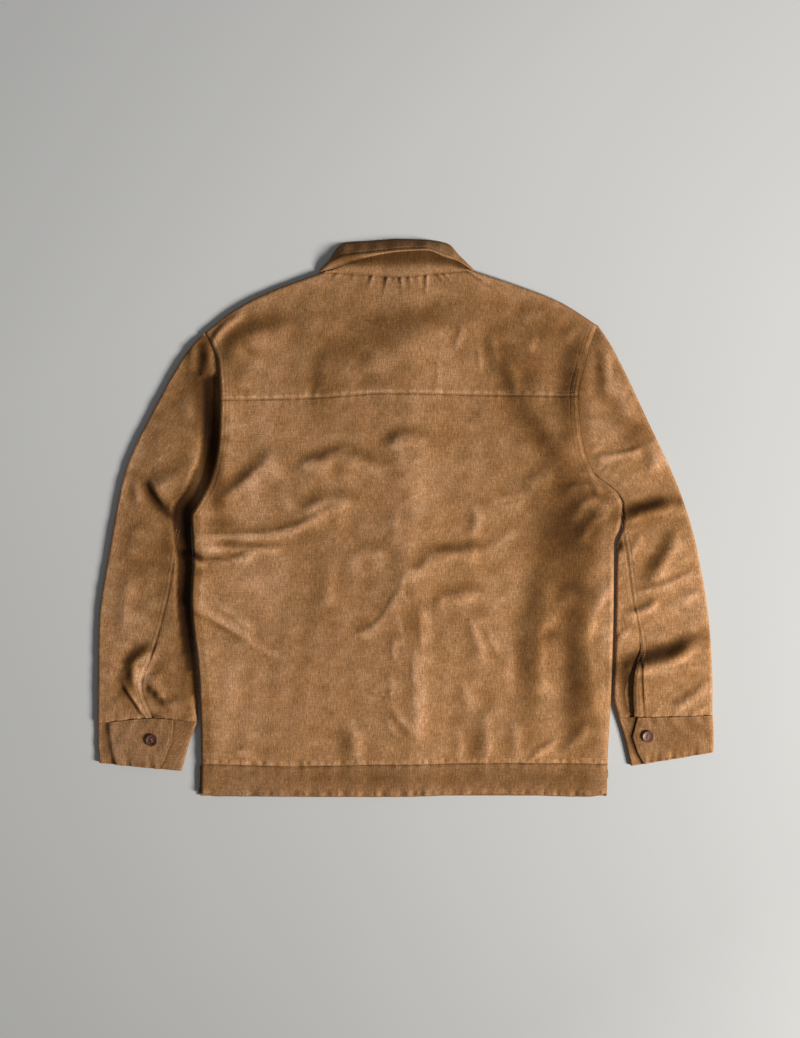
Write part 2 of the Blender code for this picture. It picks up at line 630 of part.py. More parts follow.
def closed_grid(face, back):
    """The points and faces of a closed wall between two grids."""
    rows, columns = face.shape[:2]
    points = np.concatenate([face.reshape(-1, 3), back.reshape(-1, 3)])
    index = np.arange(rows * columns).reshape(rows, columns)
    under = index + rows * columns
    faces = []
    for i in range(rows - 1):
        for j in range(columns - 1):
            quad = (index[i, j], index[i, j + 1], index[i + 1, j + 1], index[i + 1, j])
            faces.append(tuple(int(k) for k in quad))
            faces.append(tuple(int(k) + rows * columns for k in reversed(quad)))
    ring = [*index[0, :], *index[1:, -1], *index[-1, -2::-1], *index[-2:0:-1, 0]]
    low = [*under[0, :], *under[1:, -1], *under[-1, -2::-1], *under[-2:0:-1, 0]]
    for i in range(len(ring)):
        k = (i + 1) % len(ring)
        faces.append((int(ring[k]), int(ring[i]), int(low[i]), int(low[k])))
    return points, faces


def hem_seam_end(side):
    """The hem seam's end on this side."""
    return np.array(SIDE_LEFT[1][1:3] if side is BODY_EDGES["side_left"] else SIDE_RIGHT[1][1:3])


class Flank:
    """One side of the body: its stations from the hem seam to the shoulder tip."""

    def __init__(self, side, armhole, yoke_point):
        self.side, self.armhole = BODY_EDGES[side], BODY_EDGES[armhole]
        seam = self.side.near(*hem_seam_end(self.side))[1]
        yoke = self.armhole.near(*np.array(yoke_point))[1]
        self.side_shares = np.linspace(seam, 1.0, SIDE_ROWS + 1)
        low = np.array(ARM_LOW) * yoke
        high = yoke + np.array(ARM_HIGH[1:]) * (1.0 - yoke)
        self.arm_shares = np.concatenate([low, high])
        self.yoke_index = len(ARM_LOW) - 1

    def values(self, column):
        low = self.side.value(column, self.side_shares[:-1])
        return np.concatenate([low, self.armhole.value(column, self.arm_shares)])

    def points(self):
        return np.concatenate([self.side.at(self.side_shares[:-1]), self.armhole.at(self.arm_shares)])


FLANKS = {
    "left": Flank("side_left", "armhole_left", YOKE_SEAM[0][1:]),
    "right": Flank("side_right", "armhole_right", YOKE_SEAM[-1][1:]),
}
PANEL_ROWS = SIDE_ROWS + len(ARM_LOW)  # points from the hem seam to the yoke seam


def row_shares(left, right):
    """Where the rows are between a piece's lower and upper line, from the run of its two sides."""
    runs = []
    for side in (left, right):
        run = np.concatenate([[0.0], np.cumsum(np.linalg.norm(np.diff(side, axis=0), axis=1))])
        runs.append(run / run[-1])
    return (runs[0] + runs[1]) / 2


def rolled_columns(widths):
    """Column shares for rows of these widths: close together where the cloth turns at its sides."""
    turn = np.array(ROLL_STEPS)[None, :] * ROLL / np.asarray(widths)[:, None]
    start, stop = turn[:, -1:], 1.0 - turn[:, -1:]
    even = start + (stop - start) * np.linspace(0.0, 1.0, BACK_COLUMNS + 1)[None, :]
    return np.concatenate([turn[:, :-1], even, 1.0 - turn[:, -2::-1]], axis=1)


def build_back():
    """Back panel, yoke and hem band, which share their columns at the seams between them."""
    left, right = FLANKS["left"].points(), FLANKS["right"].points()
    columns = rolled_columns(np.linalg.norm(right - left, axis=1))
    seam = PANEL_ROWS - 1
    hem, yoke = Line(HEM_SEAM), Line(YOKE_SEAM)
    rolls = {
        "first_column": FLANKS["left"].values("back_roll"),
        "last_column": FLANKS["right"].values("back_roll"),
    }

    rows = slice(0, seam + 1)
    plan = patch(left[rows], right[rows], hem, yoke, columns[rows], row_shares(left[rows], right[rows]))
    panel_rolls = {side: values[rows] for side, values in rolls.items()}
    wall("back_panel", with_height(plan, back_height), CLOTH, SUEDE, panel_rolls)

    rows = slice(seam, None)
    top = Line(plan_of(SHOULDER_LEFT), NECK, plan_of(SHOULDER_RIGHT))
    plan = patch(left[rows], right[rows], yoke, top, columns[rows], row_shares(left[rows], right[rows]))
    yoke_rolls = {side: values[rows] for side, values in rolls.items()}
    shoulder = plan[-1, :, 0]
    on_neck = (shoulder > NECK[0][1] - 1.0) & (shoulder < NECK[-1][1] + 1.0)
    yoke_rolls["last_row"] = np.where(on_neck, 0.0, 1.0)
    wall("back_yoke", with_height(plan, back_height), CLOTH, SUEDE, yoke_rolls)

    edge = Line(HEM_EDGE)
    ends = [np.linspace(edge.at(end), hem.at(end), BAND_ROWS + 1) for end in (0.0, 1.0)]
    plan = patch(*ends, edge, hem, columns[0], np.linspace(0.0, 1.0, BAND_ROWS + 1))
    hem_rolls = {"first_column": 1.0, "last_column": 1.0}
    wall("hem_band_back", with_height(plan, back_height), BAND_CLOTH, SUEDE_SHADE, hem_rolls)


def front_columns(widths, neck_shares, outer_first):
    """Columns of a front: the turn at its side, wide ones to the neck's corners, then the closure's."""
    closure = LEFT_CLOSURE_COLUMNS if outer_first else RIGHT_CLOSURE_COLUMNS
    shares = []
    for width in widths:
        turn = np.array(ROLL_STEPS) * ROLL / width
        close = 1.0 - np.array(closure) / width
        before = np.linspace(turn[-1], neck_shares[0], SIDE_COLUMNS + 1)[1:]
        shares.append(np.concatenate([turn, before, neck_shares[1:], close]))
    shares = np.array(shares)
    return shares if outer_first else 1.0 - shares[:, ::-1]


def build_front(name, hem_name, side, height, neck, centre_x):
    """One front and its hem band, face down on the floor."""
    flank = FLANKS[side]
    outer = flank.points()
    v = row_shares(outer, outer)
    low = np.array([centre_x, hem_y(centre_x)])
    high = np.array([centre_x, (neck[-1] if side == "left" else neck[0])[2]])
    centre = low + (high - low) * v[:, None]
    is_left = side == "left"
    left, right = (outer, centre) if is_left else (centre, outer)
    reach = abs(centre_x - outer[-1][0])
    away = np.sort([abs(x - outer[-1][0]) / reach for _, x, _ in neck])
    beside = away[away < 1.0 - (CLOSURE_STRIP + 1.0) / reach]
    columns = front_columns(np.abs(right - left)[:, 0], beside, is_left)
    seam = Line((("left", *left[0]), ("right", *right[0])))
    top = Line(plan_of(SHOULDER_LEFT), neck) if is_left else Line(neck, plan_of(SHOULDER_RIGHT))
    plan = patch(left, right, seam, top, columns, v)
    inside = (plan[-1, :, 0] > NECK[0][1] + 1.0) & (plan[-1, :, 0] < NECK[-1][1] - 1.0)
    rolled = np.where(inside, 0.0, 1.0)
    outer_side = "first_column" if is_left else "last_column"
    rolls = {outer_side: flank.values("front_roll"), "last_row": rolled}
    wall(name, with_height(plan, height), CLOTH, SUEDE, rolls, outward=-1.0)

    corner = np.array((SIDE_LEFT if is_left else SIDE_RIGHT)[0][1:3])
    foot = np.array([centre_x, Line(HEM_EDGE).at(0.5)[1]])
    ends = [corner, foot] if is_left else [foot, corner]
    tops = [left[0], right[0]]
    rows = [np.linspace(end, top_end, BAND_ROWS + 1) for end, top_end in zip(ends, tops)]
    edge = Line((("left", *ends[0]), ("right", *ends[1])))
    plan = patch(*rows, edge, seam, columns[0], np.linspace(0.0, 1.0, BAND_ROWS + 1))
    band_rolls = {outer_side: 1.0}
    wall(hem_name, with_height(plan, height), CLOTH, SUEDE_SHADE, band_rolls, outward=-1.0)


def hem_y(x):
    """The hem seam's y at an x."""
    points = Line(HEM_SEAM).points
    return float(np.interp(x, points[:, 0], points[:, 1]))


class Stretch:
    """Part of a line, from one share of it to its end."""

    def __init__(self, line, start):
        self.line, self.start = line, start

    def at(self, share):
        return self.line.at(self.start + np.asarray(share) * (1.0 - self.start))


class Sleeve:
    """A sleeve's plan between its armhole, its two outlines and its cuff seam, and its heights."""

    def __init__(self, side, inner, outer, end, seam, folds):
        self.side = side
        self.armhole = FLANKS[side].armhole
        self.arm_shares = FLANKS[side].arm_shares
        self.start = self.arm_shares[SLEEVE_CORNER]
        self.outer = Line(outer, columns=SLEEVE_COLUMNS)
        self.end = Line(end)
        self.seam = Line(seam, columns=SEAM_COLUMNS)
        self.folds = folds
        turned = self.turned_edge(inner[0][-1])
        self.inner = Line((*turned, *inner), columns=SLEEVE_COLUMNS)
        places = np.array([row[1:3] for row in (*turned, inner[0])])
        down = self.inner.near(places[:, 0], places[:, 1])[1]
        self.rows = np.concatenate([down, np.linspace(down[-1], 1.0, SLEEVE_ROWS + 1)[1:]])
        fan = np.linspace(0.0, SLEEVE_FAN, SLEEVE_CORNER + 1)
        self.outer_rows = np.concatenate([fan, np.linspace(SLEEVE_FAN, 1.0, SLEEVE_ROWS + 1)[1:]])

    def turned_edge(self, rim):
        """The sleeve's own edge beside the low end of the armhole, down to the armpit."""
        sign = 1.0 if self.side == "right" else -1.0
        rows = []
        for share in self.arm_shares[SLEEVE_CORNER:0:-1]:
            ahead = self.armhole.at(share + 0.01) - self.armhole.at(share - 0.01)
            outward = unit(np.array([ahead[1], -ahead[0]])) * sign
            rows.append(("armhole", *(self.armhole.at(share) + ARMPIT_GAP * outward), rim))
        return rows

    def plan(self, u):
        """Plan points at shares u from the inner to the outer outline, in each row."""
        u = np.broadcast_to(u, (len(self.rows), np.shape(u)[-1]))
        v = self.outer_rows[:, None, None]
        arm = Stretch(self.armhole, self.start)
        rows = between(self.inner.at(self.rows)[:, None], self.outer.at(self.outer_rows)[:, None], u)
        rows = rows + (1.0 - smoothstep(v / BOW_REACH)) * bow(arm, arm.at(u), u)
        return rows + smoothstep((v - 1.0 + BOW_REACH) / BOW_REACH) * bow(self.end, self.end.at(u), u)

    def outlines(self, z, x, y):
        for edge in (self.inner, self.outer):
            away, share = edge.near(x, y)
            rim = edge.value("rim", share)
            z = rim + (z - rim) * rolled_share(away, 1.0, SLEEVE_ROLL)
        return z

    def top(self, x, y):
        z = SLEEVE_HEIGHT + fold_height(self.folds, x, y)
        away, share = self.armhole.near(x, y)
        rim = np.maximum(self.armhole.value("back_rim", share), SLEEVE_SEAM_LOW)
        z = rim + (z - rim) * rolled_share(away, 0.0, ARMHOLE_REACH)
        return self.outlines(z, x, y)

    def bottom(self, x, y):
        away, share = self.armhole.near(x, y)
        rim = self.armhole.value("front_rim", share) * smoothstep((share - FLOOR_SIDE_TOP) / 0.2)
        return self.outlines(rim * (1.0 - rolled_share(away, 0.0, ARMHOLE_REACH)), x, y)

    def split(self):
        """The share of each row where the back seam crosses it."""
        u = np.linspace(0.0, 1.0, 241)
        plan = self.plan(u[None, :])
        away = self.seam.near(plan[..., 0], plan[..., 1])[0]
        return u[away.argmin(axis=1)]

    def stations(self, split, first, last, opening=0.0):
        """Shares of the columns first to last, from the armhole's to an even spacing lower down."""
        arm = (self.arm_shares[SLEEVE_CORNER:] - self.start) / (1.0 - self.start)
        widths = np.linalg.norm(self.outer.at(self.outer_rows) - self.inner.at(self.rows), axis=1)
        steps = np.array(ROLL_STEPS)
        below = []
        for share, width, cut in zip(self.rows, widths, split):
            reach = ROLL / width
            cut = max(cut, (ROLL + SEAM_INSET) / width) - opening * self.seam.value("vent", share) / width
            inner = np.linspace(reach, cut, SEAM_STATION - 2)[1:]
            outer = np.linspace(cut, 1.0 - reach, len(arm) - SEAM_STATION - 3)[1:]
            below.append(np.concatenate([steps * reach, inner, outer, 1.0 - steps[-2::-1] * reach]))
        mix = smoothstep(self.outer_rows / SLEEVE_FAN)[:, None]
        return (arm * (1.0 - mix) + np.array(below) * mix)[:, first : last + 1]


def build_sleeve(sleeve):
    """The top sleeve, from the back seam over the outer outline, and the under sleeve."""
    last = len(sleeve.arm_shares) - SLEEVE_CORNER - 1
    back_seam = sleeve.split()
    even = np.full(len(sleeve.rows), FLOOR_SEAM_SHARE)
    setback = SEAM_GAP / 2 * (1.0 + sleeve.armhole.value("back_roll", sleeve.arm_shares[SLEEVE_CORNER:]))

    def strip(first, stop, on_top):
        opening = 1.0 if stop == SEAM_STATION else 0.0
        shares = sleeve.stations(back_seam if on_top else even, first, stop, opening)
        return with_height(sleeve.plan(shares), sleeve.top if on_top else sleeve.bottom)

    def piece(name, top_columns, floor_columns, outward):
        top = strip(min(top_columns), max(top_columns), True)
        floor = strip(min(floor_columns), max(floor_columns), False)
        order = slice(None) if top_columns[0] < top_columns[1] else slice(None, None, -1)
        back = slice(None, None, -1) if order == slice(None) else slice(None)
        face = np.concatenate([top[:, order], floor[:, back][:, 1:]], axis=1)
        gaps = np.concatenate(
            [
                setback[min(top_columns) : max(top_columns) + 1][order],
                setback[min(floor_columns) : max(floor_columns) + 1][back][1:],
            ]
        )
        wall(name, face, CLOTH, SUEDE, gaps={"first_row": gaps}, outward=outward)

    outward = -1.0 if sleeve.side == "right" else 1.0
    name = f"sleeve_{sleeve.side}"
    piece(f"{name}_top", (SEAM_STATION, last), (UNDER_STATION, last), outward)
    piece(f"{name}_under", (SEAM_STATION, 0), (0, UNDER_STATION), -outward)


def half_round(x, radius, start, turn, steps=4):
    """Points round a fold of a cuff, from one layer to the next."""
    angles = start + turn * np.linspace(0.0, math.pi, steps + 1)[1:-1]
    return [(x + radius * math.cos(a), radius + radius * math.sin(a)) for a in angles]


def build_cuff(side, inner, outer, sleeve_end, tab):
    """A cuff as one strip: the button tab, over the top, round below, and the underlap."""
    inner, outer, sleeve_end = Line(inner), Line(outer), Line(sleeve_end)
    tab = np.array([row[1:] for row in tab], float)
    rows = []
    for share in np.linspace(0.0, 1.0, CUFF_ROWS + 1):
        start, stop = inner.at(share), outer.at(share)
        width = float(np.linalg.norm(stop - start))
        end = float(np.interp(share, tab[:, 0], tab[:, 1]))
        over, under = CUFF_TOP / 2, CUFF_UNDERLAP_TOP / 2
        path = [(x, CUFF_TOP) for x in np.linspace(end, width - over, CUFF_COLUMNS + 1)]
        path += half_round(width - over, over, math.pi / 2, -1.0)
        path += [(x, 0.0) for x in np.linspace(width - over, under, CUFF_COLUMNS)]
        path += half_round(under, under, -math.pi / 2, -1.0)
        path += [(x, CUFF_UNDERLAP_TOP) for x in np.linspace(under, CUFF_UNDERLAP, UNDERLAP_COLUMNS)]
        path = np.array(path)
        across = path[:, 0] / width
        plan = start + (stop - start) * across[:, None]
        plan += (1.0 - share) * bow(sleeve_end, sleeve_end.at(across), across)
        rows.append(np.concatenate([plan, path[:, 1:]], axis=1))
    outward = 1.0 if side == "left" else -1.0
    gaps = {"first_row": CUFF_SETBACK}
    wall(f"cuff_{side}", np.array(rows), BAND_CLOTH, SUEDE_SHADE, gaps=gaps, outward=outward)


def build_collar():
    """The stand and the leaf, each one strip round the neck from front to front."""
    table = np.array([row[1:] for row in COLLAR], float)
    lines = (smooth_points(table[:, 3 * i : 3 * i + 3], COLLAR_STEPS) for i in range(4))
    seam, stand, fold, edge = lines
    bulge = np.interp(np.arange(len(seam)) / COLLAR_STEPS, np.arange(len(table)), table[:, 12])
    bulge = bulge[None, :, None]

    v = np.linspace(0.0, 1.0, STAND_ROWS + 1)[:, None, None]
    face = seam + (stand - seam) * v
    face[..., 2] += (bulge * 2.0 * v * (1.0 - v))[..., 0]
    wall("collar_stand", face, COLLAR_CLOTH, SUEDE, gaps={"last_row": 0.0})

    v = np.linspace(0.0, 1.0, LEAF_ROWS + 1)[:, None, None]
    face = fold + (edge - fold) * v
    out = unit(np.cross(edge - fold, np.gradient(fold, axis=0)))
    face = face + out * bulge * 4.0 * v * (1.0 - v)
    wall("collar_leaf", face, COLLAR_CLOTH, SUEDE, gaps={"first_row": 0.0}, outward=-1.0)


def build_button(name, centre, base):
    """A round button with a raised rim, lying flat at this height."""
    sides = BUTTON_SIDES
    turn = np.linspace(0.0, 2.0 * math.pi, sides, endpoint=False)
    rings = []
    for radius, z in BUTTON_PROFILE:
        height = np.full(sides, base + z)
        ring = [centre[0] + radius * np.cos(turn), centre[1] + radius * np.sin(turn), height]
        rings.append(np.stack(ring, axis=-1))
    points, faces = np.concatenate(rings), []
    for i in range(len(rings) - 1):
        for k in range(sides):
            m = (k + 1) % sides
            faces.append((i * sides + k, i * sides + m, (i + 1) * sides + m, (i + 1) * sides + k))
    faces.append(tuple(range(sides - 1, -1, -1)))
    faces.append(tuple(range((len(rings) - 1) * sides, len(rings) * sides)))
    new_object(name, points, faces, BUTTON)


def build_buttons():
    build_button("cuff_button_left", CUFF_BUTTON_LEFT, CUFF_TOP + SEAM_GAP)
    build_button("cuff_button_right", CUFF_BUTTON_RIGHT, CUFF_TOP + SEAM_GAP)
    heights = list(np.linspace(FRONT_BUTTON_TOP, FRONT_BUTTON_BOTTOM, FRONT_BUTTONS)) + [HEM_BUTTON_Y]
    for number, y in enumerate(heights, start=1):
        build_button(f"front_button_{number}", (CLOSURE_X, float(y)), 0.0)


clear_scene()
build_back()
build_front(
    "front_left",
    "hem_band_front_left",
    "left",
    front_face,
    FRONT_NECK_LEFT,
    CLOSURE_X + CLOSURE_HALF,
)
build_front(
    "front_right",
    "hem_band_front_right",
    "right",
    underlap_face,
    FRONT_NECK_RIGHT,
    CLOSURE_X - CLOSURE_HALF,
)
build_sleeve(
    Sleeve("left", LEFT_INNER, LEFT_OUTER, LEFT_SLEEVE_END, LEFT_SLEEVE_SEAM, LEFT_SLEEVE_FOLDS)
)
build_sleeve(
    Sleeve("right", RIGHT_INNER, RIGHT_OUTER, RIGHT_SLEEVE_END, RIGHT_SLEEVE_SEAM, RIGHT_SLEEVE_FOLDS)
)
build_cuff("left", LEFT_CUFF_INNER, LEFT_CUFF_OUTER, LEFT_SLEEVE_END, LEFT_TAB)
build_cuff("right", RIGHT_CUFF_INNER, RIGHT_CUFF_OUTER, RIGHT_SLEEVE_END, RIGHT_TAB)
build_collar()
build_buttons()
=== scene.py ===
"""The laid-flat jacket's finished cloth, seams, stitches, buttons and light.

+X is to the wearer's right, +Y towards the collar, +Z up, as in the frame. The cloth is made in
millimetres from the same seam lines as the solids, on finer grids, and each piece of it replaces
its solid.
"""

import math

import bpy
import numpy as np
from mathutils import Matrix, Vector


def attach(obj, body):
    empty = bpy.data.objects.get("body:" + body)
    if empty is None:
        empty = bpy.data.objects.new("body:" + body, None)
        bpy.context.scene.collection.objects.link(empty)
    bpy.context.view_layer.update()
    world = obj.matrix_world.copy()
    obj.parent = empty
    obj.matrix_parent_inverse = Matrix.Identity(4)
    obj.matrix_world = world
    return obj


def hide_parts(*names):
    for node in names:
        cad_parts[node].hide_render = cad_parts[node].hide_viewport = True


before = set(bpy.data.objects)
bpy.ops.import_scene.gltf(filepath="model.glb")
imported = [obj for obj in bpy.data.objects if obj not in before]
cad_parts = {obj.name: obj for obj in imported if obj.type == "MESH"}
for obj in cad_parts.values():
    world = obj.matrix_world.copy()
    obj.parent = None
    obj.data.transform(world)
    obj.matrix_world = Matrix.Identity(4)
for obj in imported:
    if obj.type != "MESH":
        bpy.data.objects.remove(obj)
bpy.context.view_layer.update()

MM = 0.001

# Driving dimensions
CLOTH = 1.5  # thickness of one layer
BAND_CLOTH = 2.0  # cuffs and hem band, which are folded double
COLLAR_CLOTH = 1.6
SEAM_GAP = 0.3  # between pieces that are sewn together
ROLL = 6.0  # how far in from an outline the cloth has turned up from it
BACK_HEIGHT = 6.6  # the middle of the back, over the two fronts
CREST_REACH = 30.0  # how far a stand-off beside an outline reaches in
FRONT_STACK = 3.4  # how much higher the back lies over the closure
FRONT_STACK_REACH = 38.0
COLLAR_STACK = 1.2  # and over the collar stand
NECK_X = -11.0  # the middle of the neck
STACK_TOP = 225.0  # where the back starts to rise over the collar, going up
STACK_HALF = 110.0  # and half the width over which it does
CLOSURE_X = 11.0  # the line of front buttons
CLOSURE_HALF = 19.0  # half the overlap of the two fronts
CLOSURE_TOP = 232.0  # above it the left front lies down again
SLEEVE_HEIGHT = 8.0
SLEEVE_ROLL = 4.8
SLEEVE_SEAM_LOW = 5.6  # the lowest that the top of a sleeve lies at its armhole
BUTTON_THICK = 2.6
BUTTON_LIFT = BUTTON_THICK + SEAM_GAP  # the left front over its buttons
UNDERLAP_GAP = 0.8  # between the left front and the right front's underlap
COLLAR_LIFT = COLLAR_CLOTH + SEAM_GAP  # the fronts over the collar's points
LIFT_BOTTOM = 176.0  # where the fronts start to rise over the points, going up
LIFT_HALF = 160.0
SOFT_RISE = 40.0  # over which a layer comes up sideways onto what it lies on
QUICK_RISE = 22.0
CLOSURE_FADE = 16.0
UNDERLAP_RISE = (1.5, 12.0)  # from the left front's edge, where the right front comes up onto it
FRONT_BUTTONS = 5
FRONT_BUTTON_TOP = 214.0
FRONT_BUTTON_BOTTOM = -286.0
HEM_BUTTON_Y = -366.0
HEM_BAND_WIDTH = 44.0
HEM_BAND_LENGTH = 565.0
FRONT_HEM_RUN = 570.0  # over which the puckers of the fronts' hem are spread
GROOVE = 0.7  # depth of the groove along a seam
GROOVE_HALF = 1.3
LAPPED_GROOVE = 0.5  # of the yoke, which lies on the panel
LAP = 0.5  # how much the yoke stands up beside its seam
SLEEVE_GROOVE = 0.8
SLEEVE_GROOVE_HALF = 1.5
WIDE_GROOVE_HALF = 1.6  # at the neck and the cuffs
# How a seam draws the cloth up in waves: their height, seed, size, and how far they reach
YOKE_PUCKERS = (0.32, 11, 17, 8.0)
HEM_PUCKERS = (0.5, 12, 21, 9.0)
SLEEVE_PUCKERS = (0.4, 31, 18, 9.0)
# And beside a turned edge: their height, seed, size, how far in they are, and how far they reach
EDGE_PUCKERS = (0.75, 13, 15, 4.0, 6.5)
ARMHOLE_PUCKERS = {"left": (0.34, 14, 16, 9.0, 7.0), "right": (0.34, 15, 16, 9.0, 7.0)}
CAP_PUCKERS = (0.5, 33, 17, 12.0, 9.0)
# Unevenness of the lying cloth: the height, seed and size of its waves
BACK_WAVES = ((0.27, 3, 44), (0.03, 4, 13))
SLEEVE_WAVES = ((0.30, 5, 40), (0.08, 6, 14))

# Outlines of the body. Each row is a place on the outline: its x and y, the height of the back's
# edge and of the front's edge there, whether each of them is rolled over (1) or runs on flat into
# the next piece (0), and how far the back stands off beside it.
BODY_COLUMNS = ("x", "y", "back_rim", "front_rim", "back_roll", "front_roll", "crest")
SIDE_LEFT = (
    # place, x, y, back_rim, front_rim, back_roll, front_roll, crest
    ("hem", -286.4, -389, 4.2, 4.2, 1, 1, 2.2),
    ("hem seam", -285.2, -344, 4.2, 4.2, 1, 1, 2.4),
    ("waist", -288.5, -228, 4.6, 4.6, 1, 1, 5.2),
    ("side", -299.5, -112, 5.0, 5.0, 1, 1, 7.2),
    ("notch", -296.5, -56, 5.0, 5.0, 1, 1, 7.6),
    ("armpit", -300, 4, 4.6, 4.6, 1, 1, 8.2),
)
ARMHOLE_LEFT = (
    SIDE_LEFT[-1],
    ("turn", -286.5, 24.5, 4.4, 1.2, 1, 0.3, 8.6),
    ("low", -272, 57, 4.4, 0, 1, 0, 8.6),
    ("middle", -261, 112, 4.6, 0, 1, 0, 8.0),
    ("yoke", -259, 163, 5.2, 0, 1, 0, 7.4),
    ("high", -262.5, 217, 6.0, 0, 0.8, 0, 5.4),
    ("top", -271, 242, 5.2, 1.5, 0.8, 0.3, 2.6),
    ("tip", -280, 258, 4.4, 4.4, 1, 1, 2.2),
)
SIDE_RIGHT = (
    ("hem", 281, -389, 4.2, 4.2, 1, 1, 1.6),
    ("hem seam", 282, -344, 4.2, 4.2, 1, 1, 1.8),
    ("waist", 287.6, -228, 4.4, 4.4, 1, 1, 2.6),
    ("side", 290.5, -118, 4.6, 4.6, 1, 1, 3.0),
    ("under arm", 291, -36, 4.6, 4.6, 1, 1, 3.0),
    ("flare", 299.5, -12, 4.8, 4.8, 1, 1, 3.4),
    ("armpit", 303, 21, 5.0, 5.0, 1, 1, 3.6),
)
ARMHOLE_RIGHT = (
    SIDE_RIGHT[-1],
    ("turn", 293, 37, 6.5, 1.2, 0.6, 0.3, 3.0),
    ("low", 262, 63, 8.0, 0, 0.1, 0, 2.2),
    ("middle", 244.5, 120, 8.2, 0, 0, 0, 1.8),
    ("yoke", 241, 168.5, 8.2, 0, 0, 0, 1.6),
    ("high", 250, 212, 8.0, 0, 0, 0, 1.4),
    ("top", 259, 245, 6.4, 1.5, 0.4, 0.3, 1.4),
    ("tip", 268, 268, 4.4, 4.4, 1, 1, 1.4),
)
SHOULDER_LEFT = (
    ARMHOLE_LEFT[-1],
    ("outer", -241.5, 288, 4.4, 4.4, 1, 1, 2.4),
    ("middle", -190, 315, 4.6, 4.6, 1, 1, 2.2),
    ("neck", -118.3, 341.5, 5.0, 5.0, 1, 1, 1.8),
)
SHOULDER_RIGHT = (
    ("neck", 95, 344, 5.0, 5.0, 1, 1, 1.4),
    ("middle", 160.3, 322.3, 4.6, 4.6, 1, 1, 1.4),
    ("outer", 216.3, 300.3, 4.4, 4.4, 1, 1, 1.4),
    ARMHOLE_RIGHT[-1],
)

# Seams across the body, as place, x, y
NECK = (
    ("left end", -118.3, 341.5),
    ("left", -69.3, 338.9),
    ("middle", -10.5, 334.3),
    ("right", 58, 340.5),
    ("right end", 95, 344),
)
YOKE_SEAM = (
    ("left", -259, 163),
    ("left middle", -133.7, 166),
    ("middle", -27.3, 172.6),
    ("right middle", 104.3, 170.4),
    ("right", 241, 168.5),
)
HEM_SEAM = (
    ("left", -285.2, -344),
    ("left middle", -157, -347.6),
    ("middle", -40, -345.4),
    ("right middle", 137, -343.2),
    ("right", 282, -344),
)
HEM_EDGE = (
    ("left", -286.4, -385),
    ("left turn", -262, -388.6),
    ("middle", -60, -389.8),
    ("right middle", 125, -386.4),
    ("right turn", 252, -389.4),
    ("right", 281, -385),
)
FRONT_NECK_LEFT = (
    ("shoulder", -118.3, 341.5),
    ("side", -104, 305),
    ("low side", -74, 274),
    ("low", -30, 257),
    ("centre", 30, 254),
)
FRONT_NECK_RIGHT = (
    ("centre", -8, 254),
    ("low", 20, 257),
    ("low side", 56, 274),
    ("side", 83, 305),
    ("shoulder", 95, 344),
)

# Pleats under the neck seam: x, how far down each runs, its depth, half its width, and its lean
GATHERS = (
    (-98, 10, 0.6, 3.0, -0.6),
    (-76, 11, 0.6, 3.0, -0.1),
    (-49, 13, 1.3, 2.4, -0.35),
    (-28.5, 14, 1.5, 2.5, -0.2),
    (-9.5, 13, 1.4, 2.2, 0.1),
    (2, 11, 1.2, 2.0, 0.2),
    (13, 8, 0.5, 2.4, 0.2),
    (26.5, 15, 1.5, 2.4, -0.05),
    (42, 14, 1.0, 2.4, 0.9),
    (51, 12, 0.9, 2.2, 1.0),
    (84, 18, 1.0, 3.2, 1.6),
)

# Folds: three places on each crest in plan, its height, and how far its two sides run out
BODY_FOLDS = (
    # name, x0, y0, x1, y1, x2, y2, height, steep, soft
    ("left shoulder lean", -270, 22, -227, 57, -180, 99, 4.0, 9, 30),
    ("shoulder blade arc", -162, 64, -94, 90, -13, 64, 3.0, 9, 30),
    ("blade tail", -41, 99, -2, 117, 43, 111, 2.2, 9, 26),
    ("middle arc", -164, -4, -108, 29, -58, 24, 3.0, 9, 24),
    ("side to middle ridge", -335, -25, -205, -21, -92, 13, 2.5, 4, 12),
    ("low left lean", -201, -186, -254, -152, -325, -111, 2.4, 3, 18),
    ("middle knot", 26, -50, 62, -46, 110, -38, 3.6, 7, 22),
    ("knot, left", -5, -69, 12, -71, 33, -48, 2.0, 6, 16),
    ("hook", 85, -36, 93, -1, 88, 26, 2.0, 7, 12),
    ("long rise", -86, -167, -47, -150, -6, -91, 1.6, 3, 14),
    ("closure under the back", 12, -309, 9, -241, 8, -172, 1.2, 9, 18),
    ("right hollow edge", 176, -272, 166, -172, 197, -62, 4.6, 20, 14),
    ("right rim", 234, -318, 230, -206, 216, -94, 5.2, 24, 16),
    ("yoke lean right", 232, 55, 197, 108, 143, 186, 3.3, 14, 34),
    ("shoulder ridge", -279, 234, -258, 265, -222, 292, 3.4, 4.5, 8),
    ("shoulder rise", -260, 209, -237, 254, -159, 274, 3.4, 13, 40),
    ("yoke blotch", -125, 208, -41, 247, 79, 280, 3.2, 22, 34),
    ("right under arm", 216, -4, 258, 24, 298, 22, 2.4, 9, 14),
)
FOLD_TAPER = 0.3  # share of its line over which a fold rises at each end
FOLD_DIP = 0.22  # share of its height that the cloth dips before its steep side
FOLD_UNEVEN = 0.18  # share of its height by which it varies along its crest

